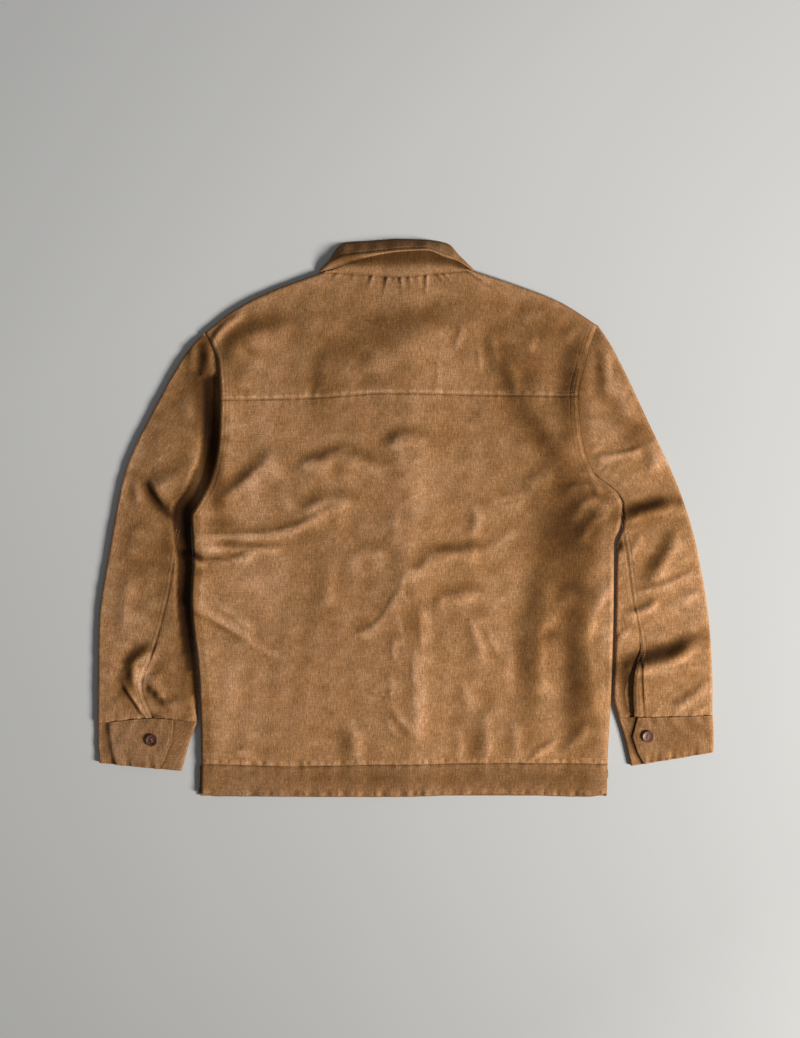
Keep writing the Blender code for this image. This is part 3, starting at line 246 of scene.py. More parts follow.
# Smaller creases, in the same columns
BODY_CREASES = (
    # name, x0, y0, x1, y1, x2, y2, height, steep, soft
    ("armpit notch", -315, -39, -292, -53, -270, -66, 4.6, 3.0, 7),
    ("low lean, second", -206, -166, -251, -132, -285, -113, 1.2, 3, 10),
    ("low lean, third", -167, -202, -201, -188, -237, -172, 0.9, 4, 10),
    ("under the ridge", -279, -36, -223, -41, -162, -40, 2.4, 4, 9),
    ("under the ridge, low", -274, -59, -237, -55, -201, -43, 1.6, 4, 10),
    ("along the ridge", -169, -29, -136, 1, -85, 22, 1.4, 4, 9),
    ("arc, left end", -173, 38, -148, 18, -122, 24, 1.2, 7, 12),
    ("middle patch", -92, -62, -52, -44, -13, -48, 1.5, 8, 18),
    ("middle patch, right", -30, -43, -19, -18, -18, 24, 0.8, 6, 9),
    ("upright by the arc", -117, -132, -114, -94, -106, -54, 1.1, 9, 12),
    ("below the knot", 37, -135, 50, -108, 113, -99, 2.6, 7, 16),
    ("knot tail", 6, -68, -2, -102, 12, -124, 1.0, 3, 6),
    ("dart, left", 20, -190, 19, -152, 16, -120, 1.4, 3.5, 5),
    ("dart, right", 31, -188, 29, -158, 20, -121, 0.8, 3, 6),
    ("thin upright", 9, -244, 8, -205, 10, -172, 0.9, 2.2, 6),
    ("short upright", -18, -205, -20, -183, -19, -163, 1.1, 3, 5),
    ("short upright, low", -27, -261, -23, -236, -27, -211, 0.9, 4, 6),
    ("fan, left", 26, -314, -8, -286, -31, -255, 1.7, 4, 7),
    ("fan, low left", -8, -314, -23, -295, -34, -272, 0.9, 3, 5),
    ("lean, right", 107, -208, 96, -174, 83, -135, 1.5, 5, 9),
    ("lean, right end", 132, -202, 117, -172, 102, -141, 1.0, 4, 7),
    ("lean, low", 90, -272, 79, -247, 71, -216, 0.9, 5, 8),
    ("upright by the hollow", 138, -255, 136, -214, 141, -172, 1.2, 8, 9),
    ("hem upright, first", -75, -345, -78, -314, -90, -278, 2.0, 9, 12),
    ("hem upright, second", 106, -345, 106, -309, 103, -264, 2.2, 9, 9),
    ("hem upright, third", 150, -345, 149, -314, 144, -278, 1.7, 7, 10),
    ("hem upright, fourth", 68, -345, 71, -320, 65, -286, 0.9, 6, 8),
    ("hem, left", -246, -327, -225, -323, -201, -337, 1.3, 4, 7),
    ("hem lean, right", 170, -345, 180, -327, 214, -307, 2.0, 4, 9),
    ("hem lean, far right", 211, -328, 236, -304, 253, -276, 1.8, 7, 9),
    ("hollow fork", 188, -158, 205, -121, 236, -88, 2.4, 9, 16),
    ("rim flare", 241, -172, 258, -124, 289, -76, 2.2, 9, 10),
    ("side pleat, first", 267, -172, 284, -163, 299, -160, 0.9, 3, 5),
    ("side pleat, second", 275, -132, 286, -120, 299, -115, 0.8, 3, 5),
    ("blade, right", 160, 52, 186, 61, 211, 66, 2.0, 9, 16),
    ("under arm, first", 219, 38, 241, 48, 264, 47, 1.6, 4.5, 8),
    ("under arm, second", 230, 13, 253, 27, 272, 33, 1.6, 5, 7),
    ("under arm, third", 233, -43, 255, -4, 289, 19, 2.4, 7, 9),
    ("armpit fan", 272, 24, 261, 44, 250, 66, 1.2, 4, 6),
    ("right of the hook", 96, -48, 127, -31, 149, -9, 1.2, 6, 14),
    ("thin by the hook", 130, 13, 146, 20, 169, 24, 0.7, 3, 6),
    ("chest, right", 118, 29, 149, 33, 180, 38, 1.2, 7, 20),
    ("yoke upright, first", 127, 212, 118, 234, 114, 262, 1.8, 6, 8),
    ("yoke upright, second", 149, 167, 145, 192, 131, 218, 2.2, 8, 10),
    ("yoke upright, thin", 102, 198, 100, 226, 96, 246, 0.9, 2.5, 5),
    ("yoke upright, centre", 40, 176, 43, 198, 44, 223, 0.8, 2.5, 5),
    ("yoke streak", 65, 232, 71, 251, 78, 276, 1.4, 4, 8),
    ("yoke patch, high", 166, 232, 172, 248, 183, 260, 1.6, 7, 9),
    ("yoke patch, top", 155, 276, 174, 288, 197, 290, 1.5, 7, 14),
    ("shoulder, right", 214, 246, 227, 262, 244, 274, 1.4, 7, 10),
    ("arm side, right", 226, 139, 226, 192, 222, 241, 3.2, 14, 8),
    ("yoke, left patch", -122, 176, -121, 201, -117, 232, 1.2, 8, 14),
    ("yoke seam pucker, left", -145, 167, -142, 176, -139, 187, 0.9, 3, 4),
    ("yoke seam pucker, right", -130, 167, -127, 176, -122, 187, 0.9, 3, 4),
    ("blotch, dark heart", -75, 204, -47, 223, -2, 232, 1.0, 9, 14),
    ("upper left plateau", -243, 176, -232, 204, -201, 232, 1.4, 12, 20),
    ("below the yoke", -30, 97, -10, 117, 20, 121, 1.5, 6, 12),
    ("below the yoke, left", -122, 88, -94, 97, -75, 104, 1.4, 5, 10),
    ("left centre", -148, 66, -142, 78, -122, 86, 1.2, 5, 9),
)
# Creases of the two fronts, in the same columns as the back's folds
FRONT_FOLDS = (
    ("left, arm", -240, 60, -196, 30, -150, 28, 1.3, 8, 14),
    ("left, waist", -262, -90, -196, -70, -120, -96, 1.1, 8, 16),
    ("left, low", -210, -262, -160, -236, -96, -242, 0.9, 7, 14),
    ("left, chest", -190, 170, -130, 146, -78, 150, 0.9, 8, 14),
    ("right, arm", 110, 40, 168, 62, 236, 40, 1.3, 8, 14),
    ("right, waist", 96, -120, 170, -96, 250, -122, 1.1, 8, 16),
    ("right, low", 116, -260, 176, -282, 232, -262, 0.9, 7, 14),
    ("right, chest", 84, 130, 140, 156, 200, 150, 0.9, 8, 14),
)
LEFT_SLEEVE_CREASES = (
    # name, x0, y0, x1, y1, x2, y2, height, steep, soft
    ("elbow overlap", -306, -5, -337, 16, -363, 58, 7.6, 5, 28),
    ("elbow side", -374, 13, -380, 36, -384, 61, 2.2, 6, 9),
    ("cap upright", -298, 198, -302, 218, -298, 243, 2.0, 4.5, 7),
    ("cap hollow", -306, 122, -312, 153, -302, 187, 2.0, 10, 14),
    ("cap puff", -288, 187, -284, 212, -281, 237, 2.6, 4, 5),
    ("upper arm", -358, 66, -352, 108, -335, 159, 1.6, 14, 24),
    ("below the elbow", -391, -59, -386, -31, -377, -4, 1.6, 9, 14),
    ("forearm ridge", -402, -172, -398, -115, -388, -68, 2.0, 10, 18),
    ("forearm hollow", -358, -144, -363, -102, -358, -59, 1.2, 10, 18),
    ("wrist arc", -384, -247, -386, -205, -352, -176, 5.6, 8, 13),
    ("wrist arc, outer", -400, -241, -397, -214, -386, -192, 1.6, 6, 8),
    ("wrist straight", -362, -282, -382, -253, -400, -226, 2.8, 2.4, 6),
    ("wrist dark", -338, -258, -348, -243, -362, -229, 4.2, 2.6, 9),
    ("wrist top", -373, -233, -360, -223, -335, -216, 2.2, 4, 8),
    ("wrist side", -340, -261, -318, -253, -293, -246, 1.8, 4.5, 9),
    ("end fold", -314, -296, -304, -276, -293, -251, 1.5, 3, 5),
    ("notch by the cuff", -354, -282, -346, -274, -337, -271, 2.0, 3, 4),
    ("seam lean", -358, -202, -351, -186, -342, -169, 1.2, 3, 5),
)
RIGHT_SLEEVE_CREASES = (
    # name, x0, y0, x1, y1, x2, y2, height, steep, soft
    ("cap dark", 278, 164, 272, 204, 268, 246, 2.8, 8, 12),
    ("cap lean", 328, 111, 298, 150, 279, 195, 2.8, 12, 20),
    ("cap, outer", 340, 58, 338, 83, 328, 108, 2.4, 9, 12),
    ("upper crease", 260, 85, 296, 90, 337, 102, 2.6, 3, 9),
    ("above the elbow", 312, 27, 342, 36, 382, 38, 1.4, 8, 10),
    ("elbow trough", 300, -2, 334, 16, 382, 23, 6.6, 7.5, 9),
    ("elbow lean", 328, -93, 356, -54, 376, -9, 3.4, 9, 13),
    ("below the elbow", 306, -62, 314, -43, 328, -18, 1.6, 6, 9),
    ("thin across", 312, -104, 356, -93, 408, -68, 1.6, 4, 10),
    ("short across", 298, -135, 326, -127, 354, -111, 2.8, 5, 8),
    ("outer short", 379, -113, 396, -107, 415, -102, 1.4, 5, 8),
    ("wrist trough", 289, -205, 348, -197, 415, -158, 6.8, 9, 14),
    ("wrist low", 362, -267, 393, -250, 421, -226, 2.2, 5, 10),
    ("wrist side", 398, -267, 412, -264, 425, -261, 1.0, 3, 5),
    ("mid forearm", 342, -172, 373, -158, 412, -138, 1.2, 7, 12),
    ("inner short", 292, -172, 300, -160, 314, -152, 1.6, 4, 7),
    ("vent head", 300, -211, 312, -202, 326, -202, 1.6, 4, 5),
    ("placket line", 333, -280, 330.5, -240, 327, -180, 0.8, 1.3, 4),
    ("wrist, thin", 340, -216, 368, -211, 421, -205, 0.8, 3, 8),
    ("cuff pucker, first", 345, -278, 348, -270, 352, -260, 0.8, 3, 4),
    ("cuff pucker, second", 373, -275, 376, -268, 379, -260, 0.8, 3, 4),
)

# Sleeves: outlines from the armhole to the cuff, as place, x, y, height of the outline
SLEEVE_COLUMNS = ("x", "y", "rim", "tuck")
LEFT_INNER = (
    ("armpit", -300.6, 3.6, 3.2, 24),
    ("under arm", -300.5, -17.5, 3.2, 23),
    ("bicep", -298.5, -59.5, 3.2, 20),
    ("elbow", -301, -115.5, 3.2, 18),
    ("forearm", -295.5, -180, 3.2, 16),
    ("wrist", -290, -246, 3.4, 6),
    ("cuff", -290.5, -285, 3.6, 0),
)
LEFT_OUTER = (
    ("tip", -280.4, 258, 4.4, 0),
    ("cap", -302.5, 234.5, 4.6, 0),
    ("upper arm", -348.6, 156.1, 4.8, 0),
    ("above elbow", -391.6, 62.9, 4.8, 0),
    ("elbow", -411.5, -34.3, 4.6, 0),
    ("forearm", -428.6, -156, 4.4, 0),
    ("low forearm", -429.7, -230, 4.2, 0),
    ("cuff", -429.8, -287, 4.0, 0),
)
RIGHT_INNER = (
    ("armpit", 303.8, 20.6, 5.0, 0),
    ("flare", 303.4, -10, 4.6, 0),
    ("under arm", 295.5, -38, 4.4, 0),
    ("elbow", 293.2, -118, 4.2, 0),
    ("forearm", 292.4, -180, 4.0, 0),
    ("wrist", 289.6, -248, 3.8, 0),
    ("cuff", 296.5, -278.5, 3.6, 0),
)
RIGHT_OUTER = (
    ("tip", 268.4, 268.2, 4.4, 0),
    ("cap", 286, 241.8, 4.6, 0),
    ("upper arm", 334.7, 142.1, 4.6, 0),
    ("above elbow", 385.7, 28.3, 4.6, 0),
    ("elbow", 406.7, -43.8, 4.6, 0),
    ("forearm", 425.2, -164.5, 4.4, 0),
    ("low forearm", 428.4, -230, 4.2, 0),
    ("cuff", 428.6, -275.5, 4.0, 0),
)
LEFT_SLEEVE_END = (("inner", -290.5, -285), ("middle", -352, -279.5), ("outer", -429.8, -287))
RIGHT_SLEEVE_END = (("inner", 296.5, -278.5), ("middle", 366, -277.5), ("outer", 428.6, -275.5))
# The back seam of each sleeve, as place, x, y, how far its vent stands open
SEAM_COLUMNS = ("x", "y", "vent")
LEFT_SLEEVE_SEAM = (
    ("armhole", -281, 34, 0),
    ("under arm", -313, -16, 0),
    ("elbow", -332.5, -115.5, 0),
    ("forearm", -353.5, -192.5, 0),
    ("bow", -367.5, -234.5, 0),
    ("cuff", -352, -279.5, 0),
)
RIGHT_SLEEVE_SEAM = (
    ("armhole", 280, 50, 0),
    ("under arm", 303, -22, 0),
    ("elbow", 316, -112, 0),
    ("forearm", 328, -185, 0),
    ("vent top", 320.5, -206, 4),
    ("vent", 317.5, -245, 12),
    ("cuff", 319.5, -278, 7),
)

# Cuffs: their two folds from the sleeve's seam to the free edge, as place, x, y. Below them the end
# of each button tab: its share of the way from the seam to the free edge, and how far it is in from
# the inner fold
LEFT_CUFF_INNER = (("seam", -290.5, -285), ("middle", -301, -312), ("edge", -312.5, -353.6))
LEFT_CUFF_OUTER = (("seam", -429.8, -287), ("middle", -430, -312), ("edge", -427.6, -342.5))
RIGHT_CUFF_INNER = (("seam", 296.5, -278.5), ("middle", 305, -306), ("edge", 314.5, -346.5))
RIGHT_CUFF_OUTER = (("seam", 428.6, -275.5), ("middle", 430, -302), ("edge", 429.8, -327.2))
LEFT_TAB = (("seam", 0, 33), ("point", 0.42, 24), ("turn", 0.8, 27), ("edge", 1, 31))
RIGHT_TAB = (("seam", 0, 27), ("point", 0.42, 11), ("turn", 0.75, 13), ("edge", 1, 18))
CUFF_BUTTON_LEFT = (-353.5, -310.0)
CUFF_BUTTON_RIGHT = (337.5, -305.0)
CUFF_TOP = 8.6
CUFF_UNDERLAP_TOP = CUFF_TOP - BAND_CLOTH - SEAM_GAP
CUFF_UNDERLAP = 62.0  # from the inner fold
CUFF_EDGE = (0.0, 0.4, 1.0, 1.8, 2.4, 3.0, 3.6, 4.6)  # places beside its stitched edges
CUFF_FLOOR_COLUMNS = 24
UNDERLAP_COLUMNS = 20
CUFF_STEP_OUT = {"left": 11.0, "right": 0.0}  # how much of the lower layer shows past the upper one
CUFF_STEP = 7.0  # over which it steps down to it
CUFF_STEP_TOP = 5.6
CUFF_SETBACK = 0.5  # of the cuff's own edge at the sleeve
CUFF_SHADE = {"left": -0.16, "right": -0.75}  # painted shadow of the tab: how much darker the underlap lies beside it
TAB_SHADE_REACH = 6.0

# The collar, from the left front round the back of the neck to the right front: for each section
# the seam to the neck, the stand's upper edge, the leaf's fold, its crest and its free edge
COLLAR = (
    # place, seam x y z, stand x y z, fold x y z, crest x y z, leaf edge x y z
    ("left centre", 10.8, 254.6, 3.7, 10.8, 287, 1.9, 3, 290, 0, -35.7, 218, 0, -40, 210, 0),
    ("left front", -30, 257.8, 3.7, -30, 291, 1.9, -38, 295, 0, -74, 229.3, 0, -78, 222, 0),
    ("left side", -74, 278, 3.7, -66, 306, 1.9, -76, 311, 0, -104.8, 261.5, 0, -108, 256, 0),
    ("left under", -101, 306, 3.7, -91, 325, 1.9, -103, 329, 0, -119.2, 302.9, 0, -121, 300, 0),
    ("left edge", -110, 330, 4.2, -101, 337, 2.4, -112, 339, 0, -122.8, 334.5, 0, -124, 334, 0),
    ("left turn", -113, 341.3, 5.6, -111, 345, 4.4, -119.6, 344, 0.6, -120, 342.8, 5, -119, 341.4, 6.2),
    ("left neck", -104, 342.8, 9, -101, 354, 5, -107.5, 360, 0.8, -108, 352.5, 11, -100, 346.5, 11.5),
    ("left rise", -96, 342.4, 9.3, -92, 366, 4, -95, 377.5, 0.8, -96, 358, 14.5, -88, 350.6, 14),
    ("left back", -86, 341.6, 9.4, -80, 378, 3.4, -84, 384.6, 0.8, -84, 361.4, 17, -76, 354.4, 16),
    ("back left", -48, 337.8, 9.4, -46, 383, 3.2, -47, 387.2, 0.8, -48, 365.3, 18.6, -46, 361.8, 17.2),
    ("back", -10, 335.6, 9.2, -10, 385, 3.2, -10, 389.6, 0.8, -10, 369.6, 19, -10, 368, 18),
    ("back right", 28, 338, 9.2, 26, 384.2, 3.2, 27, 388.6, 0.8, 27, 371.4, 18.6, 28, 369.8, 17.6),
    ("right back", 60, 342.4, 9.2, 54, 377, 3.4, 59, 383.2, 0.8, 55, 363.8, 16.8, 54, 361.2, 15.8),
    ("right rise", 72, 344, 9.1, 66, 366, 4, 75, 367.2, 0.8, 69, 359.4, 14, 69, 357.2, 13.4),
    ("right neck", 82, 345.2, 8.6, 78, 356, 5, 87, 355.4, 0.8, 83, 352.4, 10.5, 82, 350.8, 10),
    ("right turn", 89, 344.2, 5.6, 88, 347, 4.4, 95, 345.2, 0.6, 94.4, 344.6, 5.4, 92.5, 343.6, 5.4),
    ("right edge", 87, 332, 4.2, 79, 340, 2.4, 90, 342, 0, 99.9, 336.6, 0, 101, 336, 0),
    ("right under", 80, 306, 3.7, 69, 326, 1.9, 80, 331, 0, 96.2, 303.1, 0, 98, 300, 0),
    ("right side", 56, 279, 3.7, 46, 307, 1.9, 54, 311, 0, 81, 259.7, 0, 84, 254, 0),
    ("right front", 30, 260.5, 3.7, 30, 291, 1.9, 32, 295, 0, 59, 229.3, 0, 62, 222, 0),
    ("right centre", 11.2, 254.6, 3.9, 11.2, 287, 2, 12, 291, 0, 40.8, 218.1, 0, 44, 210, 0),
)

# The left front over its buttons: distance from the line of buttons, and height off the floor
CLOSURE_PROFILE = (
    (-23.0, 0.0),
    (-11.5, BUTTON_LIFT),
    (11.5, BUTTON_LIFT),
    (CLOSURE_HALF, 0.3),
    (CLOSURE_HALF + 1.5, 0.0),
)

# The hollow between the body and a sleeve: its width, the sleeve's height in it, and the shares of
# the armhole up to which it stays and over which it ends
GAPS = {"left": (21.0, 3.0, 0.745, 0.04), "right": (0.0, 6.4, 0.45, 0.25)}
# Where a sleeve is tucked in: place, x, y, reach and depth
PITS = (("under arm", 296, -38, 7, 4.6), ("cap", -281, 226, 5, 3.0))

# The dressed collar
STAND_WIDTH = 30.0
LEAF_WIDTH = 26.0
HIGH_CREST = 9.0  # height of the leaf's crest from which it lies on the back
STAND_SWELL = 1.6  # how far the stand puffs out beside the neck seam
# STAND_SHADE, LEAF_SHADE and LIP_LIGHT are painted shade and highlight: the stand darker under the leaf's
# overhanging lip, the leaf darker as it faces away from the light, and the lip's painted tone
STAND_SHADE = -0.34
LEAF_BULGE = 1.0
LEAF_SHADE = -0.06
LIP_GROOVE = 0.8  # along the leaf's turned edge
LIP_LIGHT = -0.06
LIP_ROWS = (0.12, 0.28, 0.46, 0.64, 0.82, 0.94, 1.0)

# How fine the grids are, as counts unless said otherwise
LINE_STEPS = 16  # between two places of a line
# Places of the rows beside an edge that is turned, and beside a seam, then where these come together
TURN = (0.0, 0.1, 0.3, 0.6, 1.0, 1.5, 2.1, 2.9, 3.9, 4.9, 6.0)
SEAM = (0.0, 0.4, 0.9, 1.4, 1.9, 2.4, 3.2, 4.6, 5.9, 6.5, 7.1, 7.7, 8.5, 10.5)
PLACKET = (*SEAM[:-1], 9.3, 10.1, 10.9, 11.7, 12.5, 13.3, 14.1, 15.5)  # top sleeve, back seam
UNDER_SEAM = (0.0, 0.5, 1.2, 2.2, 3.2)  # under sleeve, back seam
CLOSURE_PLACES = (0.0, 1.5, 3.0, 5.5, 7.5, 10, 14, 19, 24, 28, 30.5, 33, 36, 39.5, 42, 46, 50)
TURNED_SEAM = (*TURN, 7.0, 7.6, 8.2, 8.9, 10.4, 12.0, 12.9, 13.5, 14.1, 15.0, 17.0)  # stitched twice
SIDE_ROWS = 104
ARM_ROWS = 50
YOKE_ROWS = 32
PANEL_COLUMNS = 166
YOKE_COLUMNS = 215
BAND_ROWS = 8
FRONT_BAND_TOP = (0.0, 0.5, 1.2, 2.4)  # places of a front's hem band below its seam
FRONT_COLUMNS = 54
CORNER = (0.0, 0.09, 0.18, 0.265, 0.345)  # share of the low armhole that the sleeve's edge follows
SLEEVE_ROWS = (18, 9)  # for each station at the armhole, and below the armpit
SLEEVE_STATIONS = 12
STATION_RUN = 30.0  # from one to the next at the cuff
SPLIT_PLACES = 241  # over a sleeve's width, to find its back seam among
SLEEVE_FAN = 0.38  # share of the outer outline that the rows above the armpit reach
BOW_REACH = 0.34  # share of a sleeve over which its rows lose the bow of its two ends
ARMPIT_GAP = 0.8  # between the body and the turned edge of the sleeve
ARMHOLE_REACH = 3.0 * ROLL  # over which a sleeve comes up from its armhole
FLOOR_SIDE_TOP = 0.6  # share of the armhole above which the floor side comes up with the front
SEAM_INSET = 3.5  # the least between a sleeve's back seam and its turned edge
FLOOR_SEAM = 0.54  # share of a sleeve's width at which its seam on the floor side lies
TOP_COLUMNS = 34
UNDER_COLUMNS = 10
FLOOR_COLUMNS = 12
CUFF_COLUMNS = 40
CUFF_ROWS = 20
COLLAR_STEPS = 10
COLLAR_ROWS = 14

# Topstitching: how far each row of it lies from its seam, and how deep it pulls the cloth in
YOKE_ROWS_OF_STITCHES = (1.9, 7.1)
ARMHOLE_STITCHES = (8.2, 13.5)
HEM_STITCHES = 5.6
SLEEVE_STITCHES = (1.6, 6.4)
CUFF_STITCHES = 3.0
SEAM_OPEN = 0.05  # how far an edge stays back from a seam
DIMPLE = 0.42
DIMPLE_REACH = 0.75

# How strongly the painted shade and highlight, with some of the cloth's own tone, darken or lighten red,
# green and blue
SHADE_PULL = (2.6, 3.05, 4.4)
RELIEF_SHADE_PASSES = 40  # how often the cloth is softened, for its relief to be seen against it in the painted shade of creases
RELIEF_SHADE = 0.14  # painted shade and highlight: how much a millimetre of relief darkens or lightens the cloth
RELIEF_SHADE_LIMITS = (-1.8, 0.8)
# Painted shade in the pleats under the neck seam
GATHER_SHADE = 0.13
SHADE_MARKS_ON_FLOOR = 0.12  # share of a mark that the floor side keeps
# Painted shade and highlight, with some of the brushed cloth's own tone: where it is darker or lighter
# than round about, darkest in the gaps, pits, hollows and the right vent
SHADE_AND_NAP_MARKS = (
    # name, x, y, reach across and along, lean in degrees, how much darker or lighter
    ("yoke, all over", -8, 268, 266, 78, 0, -0.03),
    ("under the neck, light", -8, 306, 60, 12, 0, 0.06),
    ("upper right, broad", 183, 136, 64, 118, 22, -0.10),
    ("upper left, broad", -174, 124, 62, 92, 0, 0.02),
    ("yoke, dark heart", -58, 260, 72, 36, 8, -0.09),
    ("yoke, dark left", -114, 195, 20, 36, 0, -0.20),
    ("yoke, dark high", 34, 284, 52, 14, 10, -0.14),
    ("yoke, light", 62, 204, 42, 34, 0, 0.10),
    ("yoke, upright dark", 139, 212, 15, 56, 18, -0.25),
    ("yoke, right dark", 181, 274, 36, 20, 0, -0.14),
    ("yoke, right streak", 172, 206, 11, 36, 10, -0.12),
    ("arm side, dark", 234, 187, 15, 64, -8, -0.50),
    ("shoulder, left dark", -196, 270, 44, 12, 14, -0.17),
    ("shoulder, left dark, low", -243, 237, 13, 34, -34, -0.28),
    ("shoulder, left light", -187, 212, 28, 25, 0, 0.03),
    ("left plateau", -209, 131, 34, 31, 0, 0.04),
    ("blade light", -209, 52, 31, 17, 34, 0.09),
    ("blade dark", -234, 47, 36, 7, 40, -0.22),
    ("side light", -243, -23, 48, 7, 0, 0.12),
    ("side bright", -232, -92, 48, 44, 0, 0.12),
    ("middle dark", -131, -102, 25, 64, 0, -0.11),
    ("arc dark", -122, 86, 34, 7, 0, -0.12),
    ("blade tail dark", 1, 111, 36, 7, 6, -0.07),
    ("middle light", 26, 44, 31, 42, 0, 0.08),
    ("knot dark", 62, -44, 36, 7, 0, -0.18),
    ("hem band, dark", -1, -363, 336, 14, 0, -0.10),
    ("knot light", 15, -90, 11, 17, 0, 0.06),
    ("below the knot", 65, -110, 28, 8, 10, -0.12),
    ("closure light", 20, -272, 17, 42, 0, 0.09),
    ("closure dark", -16, -255, 9, 50, 0, -0.05),
    ("hem dark, left", -88, -320, 14, 25, 0, -0.14),
    ("hem dark, middle", 93, -317, 13, 31, 0, -0.12),
    ("right lean, dark", 192, 116, 22, 74, 35, -0.18),
    ("left upright, light", -192, 171, 15, 52, 0, 0.06),
    ("upper dark upright", -122, 164, 15, 44, 0, -0.08),
    ("hollow branch, low", 257, -262, 11, 46, 4, -0.22),
    ("hollow branch, out", 254, -205, 8, 40, 8, -0.12),
    ("low middle light", -32, -238, 20, 56, 0, 0.06),
    ("right cuff, dark", 380, -306, 56, 30, 0, -0.09),
    ("left cuff, light", -372, -312, 50, 32, 0, 0.06),
    ("hem band, right", 216, -366, 66, 16, 0, -0.09),
    ("hem band, left", -204, -366, 60, 16, 0, 0.06),
    ("right hollow, dark", 227, -18, 45, 56, -14, -0.50),
    ("right armpit, dark", 225, 41, 48, 14, -4, -0.16),
    ("hollow branch, left", 180, -176, 15, 112, -6, -0.36),
    ("hollow branch, right", 238, -211, 16, 120, 0, -0.38),
    ("between the branches", 213, -238, 9, 52, 0, 0.08),
    ("right edge, dark", 282, -241, 6, 126, 0, -0.14),
    ("left sleeve, by the gap", -293, 178, 14, 56, 8, -0.22),
    ("right rim light", 278, -172, 10, 154, 0, 0.14),
    ("right middle light", 127, -172, 22, 70, 0, 0.06),
    ("lower left light", -243, -241, 36, 84, 0, 0.10),
    ("left sleeve, edge", -388, -115, 22, 126, 0, -0.06),
    ("left sleeve, upper", -327, 108, 28, 84, 20, -0.07),
    ("left wrist, dark", -384, -211, 8, 31, -14, -0.30),
    ("left wrist, light", -366, -227, 8, 28, -14, 0.22),
    ("left elbow, dark", -342, 19, 10, 42, 42, -0.42),
    ("left forearm, light", -388, -148, 34, 96, 0, 0.10),
    ("left forearm, dark", -369, -52, 26, 44, 0, -0.10),
    ("left pit, dark", -312, 13, 15, 25, 0, -0.55),
    ("left pit, low", -307, -23, 13, 25, 0, -0.45),
    ("left wrist, dark top", -368, -187, 7, 18, -52, -0.34),
    ("left wrist, pocket", -359, -236, 6, 8, 0, -0.40),
    ("left wrist, dark lean", -348, -248, 3.4, 18, 42, -0.60),
    ("left wrist, straight dark", -382, -252, 2.2, 26, 31, -0.42),
    ("left wrist, notch dark", -345, -277, 6, 3, 0, -0.55),
    ("left gap", -272, 122, 13, 90, 6, -0.95),
    ("left gap, low", -306, -102, 11, 118, 0, -0.75),
    ("cap pit, dark", -281, 226, 6, 20, 6, -0.75),
    ("notch, dark", -291, -54, 12, 3.2, -32, -0.95),
    ("above the notch, light", -276, -45, 18, 5, -8, 0.12),
    ("below the notch, dark", -285, -74, 14, 12, 0, -0.16),
    ("dart, dark", 9, -149, 13, 27, 0, -0.17),
    ("leaf edge, light", -7, -150, 2.4, 26, 12, 0.14),
    ("dart edge, light", 31, -152, 5, 34, 0, 0.03),
    ("cap puff, light", -270, 226, 7, 13, 0, 0.14),
    ("pinch, dark leaf", -236, -34, 30, 4, -7, -0.16),
    ("pinch, light", -266, -44, 10, 5.5, 0, 0.14),
    ("pinch, dark crease", -262, -58, 18, 2.2, -6, -0.26),
    ("pinch, end of the crease", -229, -49, 18, 2.2, 22, -0.18),
    ("above the pinch, light", -226, 8, 40, 14, 0, 0.10),
    ("side, broad light", -166, -86, 44, 42, 0, 0.06),
    ("left edge, dark", -277, -290, 10, 92, 0, -0.20),
    ("left sleeve, inner dark", -302, -190, 13, 96, 2, -0.20),
    ("left sleeve, middle dark", -333, -108, 18, 66, 0, -0.22),
    ("left sleeve, by the pit", -331, -34, 12, 24, 0, -0.18),
    ("left sleeve, low dark", -338, -222, 22, 44, 0, -0.12),
    ("left wrist, outer dark", -388, -243, 13, 20, 0, -0.20),
    ("below the left shoulder, dark", -243, 196, 12, 44, 0, -0.10),
    ("left sleeve, outer light", -388, 76, 13, 100, -17, 0.14),
    ("yoke, dark low", -62, 214, 26, 24, 0, -0.11),
    ("yoke, middle dark", 20, 250, 28, 12, 0, -0.08),
    ("yoke, right dark low", 203, 250, 32, 16, 0, -0.10),
    ("stand, left end", -78, 360, 18, 9, 0, -0.30),
    ("below the yoke, dark", 35, 108, 36, 12, 0, -0.08),
    ("over the arc, dark", -78, 82, 36, 12, 0, -0.08),
    ("knot, dark below", 48, -60, 48, 10, 0, -0.07),
    ("hollow, middle dark", 225, -110, 26, 34, 0, -0.24),
    ("armpit, light", 250, 24, 16, 10, 0, 0.16),
    ("right hem, dark", 116, -246, 13, 96, 0, -0.06),
    ("closure, low dark", 6, -312, 14, 36, 0, -0.07),
    ("right sleeve, upper light", 356, 80, 22, 60, -16, 0.06),
    ("right sleeve, inner wrist", 300, -200, 18, 12, 0, 0.10),
    ("right cuff, inner end", 314, -311, 8, 16, 0, -0.24),
    ("shoulder ridge, light", -248, 260, 5, 31, -38, 0.12),
    ("right sleeve, cap dark", 272, 206, 8, 36, 0, -0.20),
    ("right sleeve, outer dark", 323, 120, 17, 31, -20, -0.20),
    ("right sleeve, elbow dark", 337, 13, 48, 11, 14, -0.60),
    ("right sleeve, lean dark", 352, -54, 11, 45, -32, -0.30),
    ("right sleeve, low dark", 349, -190, 67, 13, 19, -0.56),
    ("right vent, dark", 311, -243, 9, 34, 6, -0.85),
    ("right placket line", 330, -226, 1.1, 50, 4, -0.60),
    ("right pit, dark", 296, -38, 8, 11, 0, -0.40),
    ("right sleeve, light", 384, -115, 36, 84, 0, 0.06),
    ("right sleeve, inner light", 272, 108, 17, 42, 0, 0.08),
    ("collar stand, light", -8, 349, 78, 10, 0, 0.03),
)


def unit(vectors):
    length = np.linalg.norm(vectors, axis=-1, keepdims=True)
    return vectors / np.where(length > 1e-9, length, 1.0)


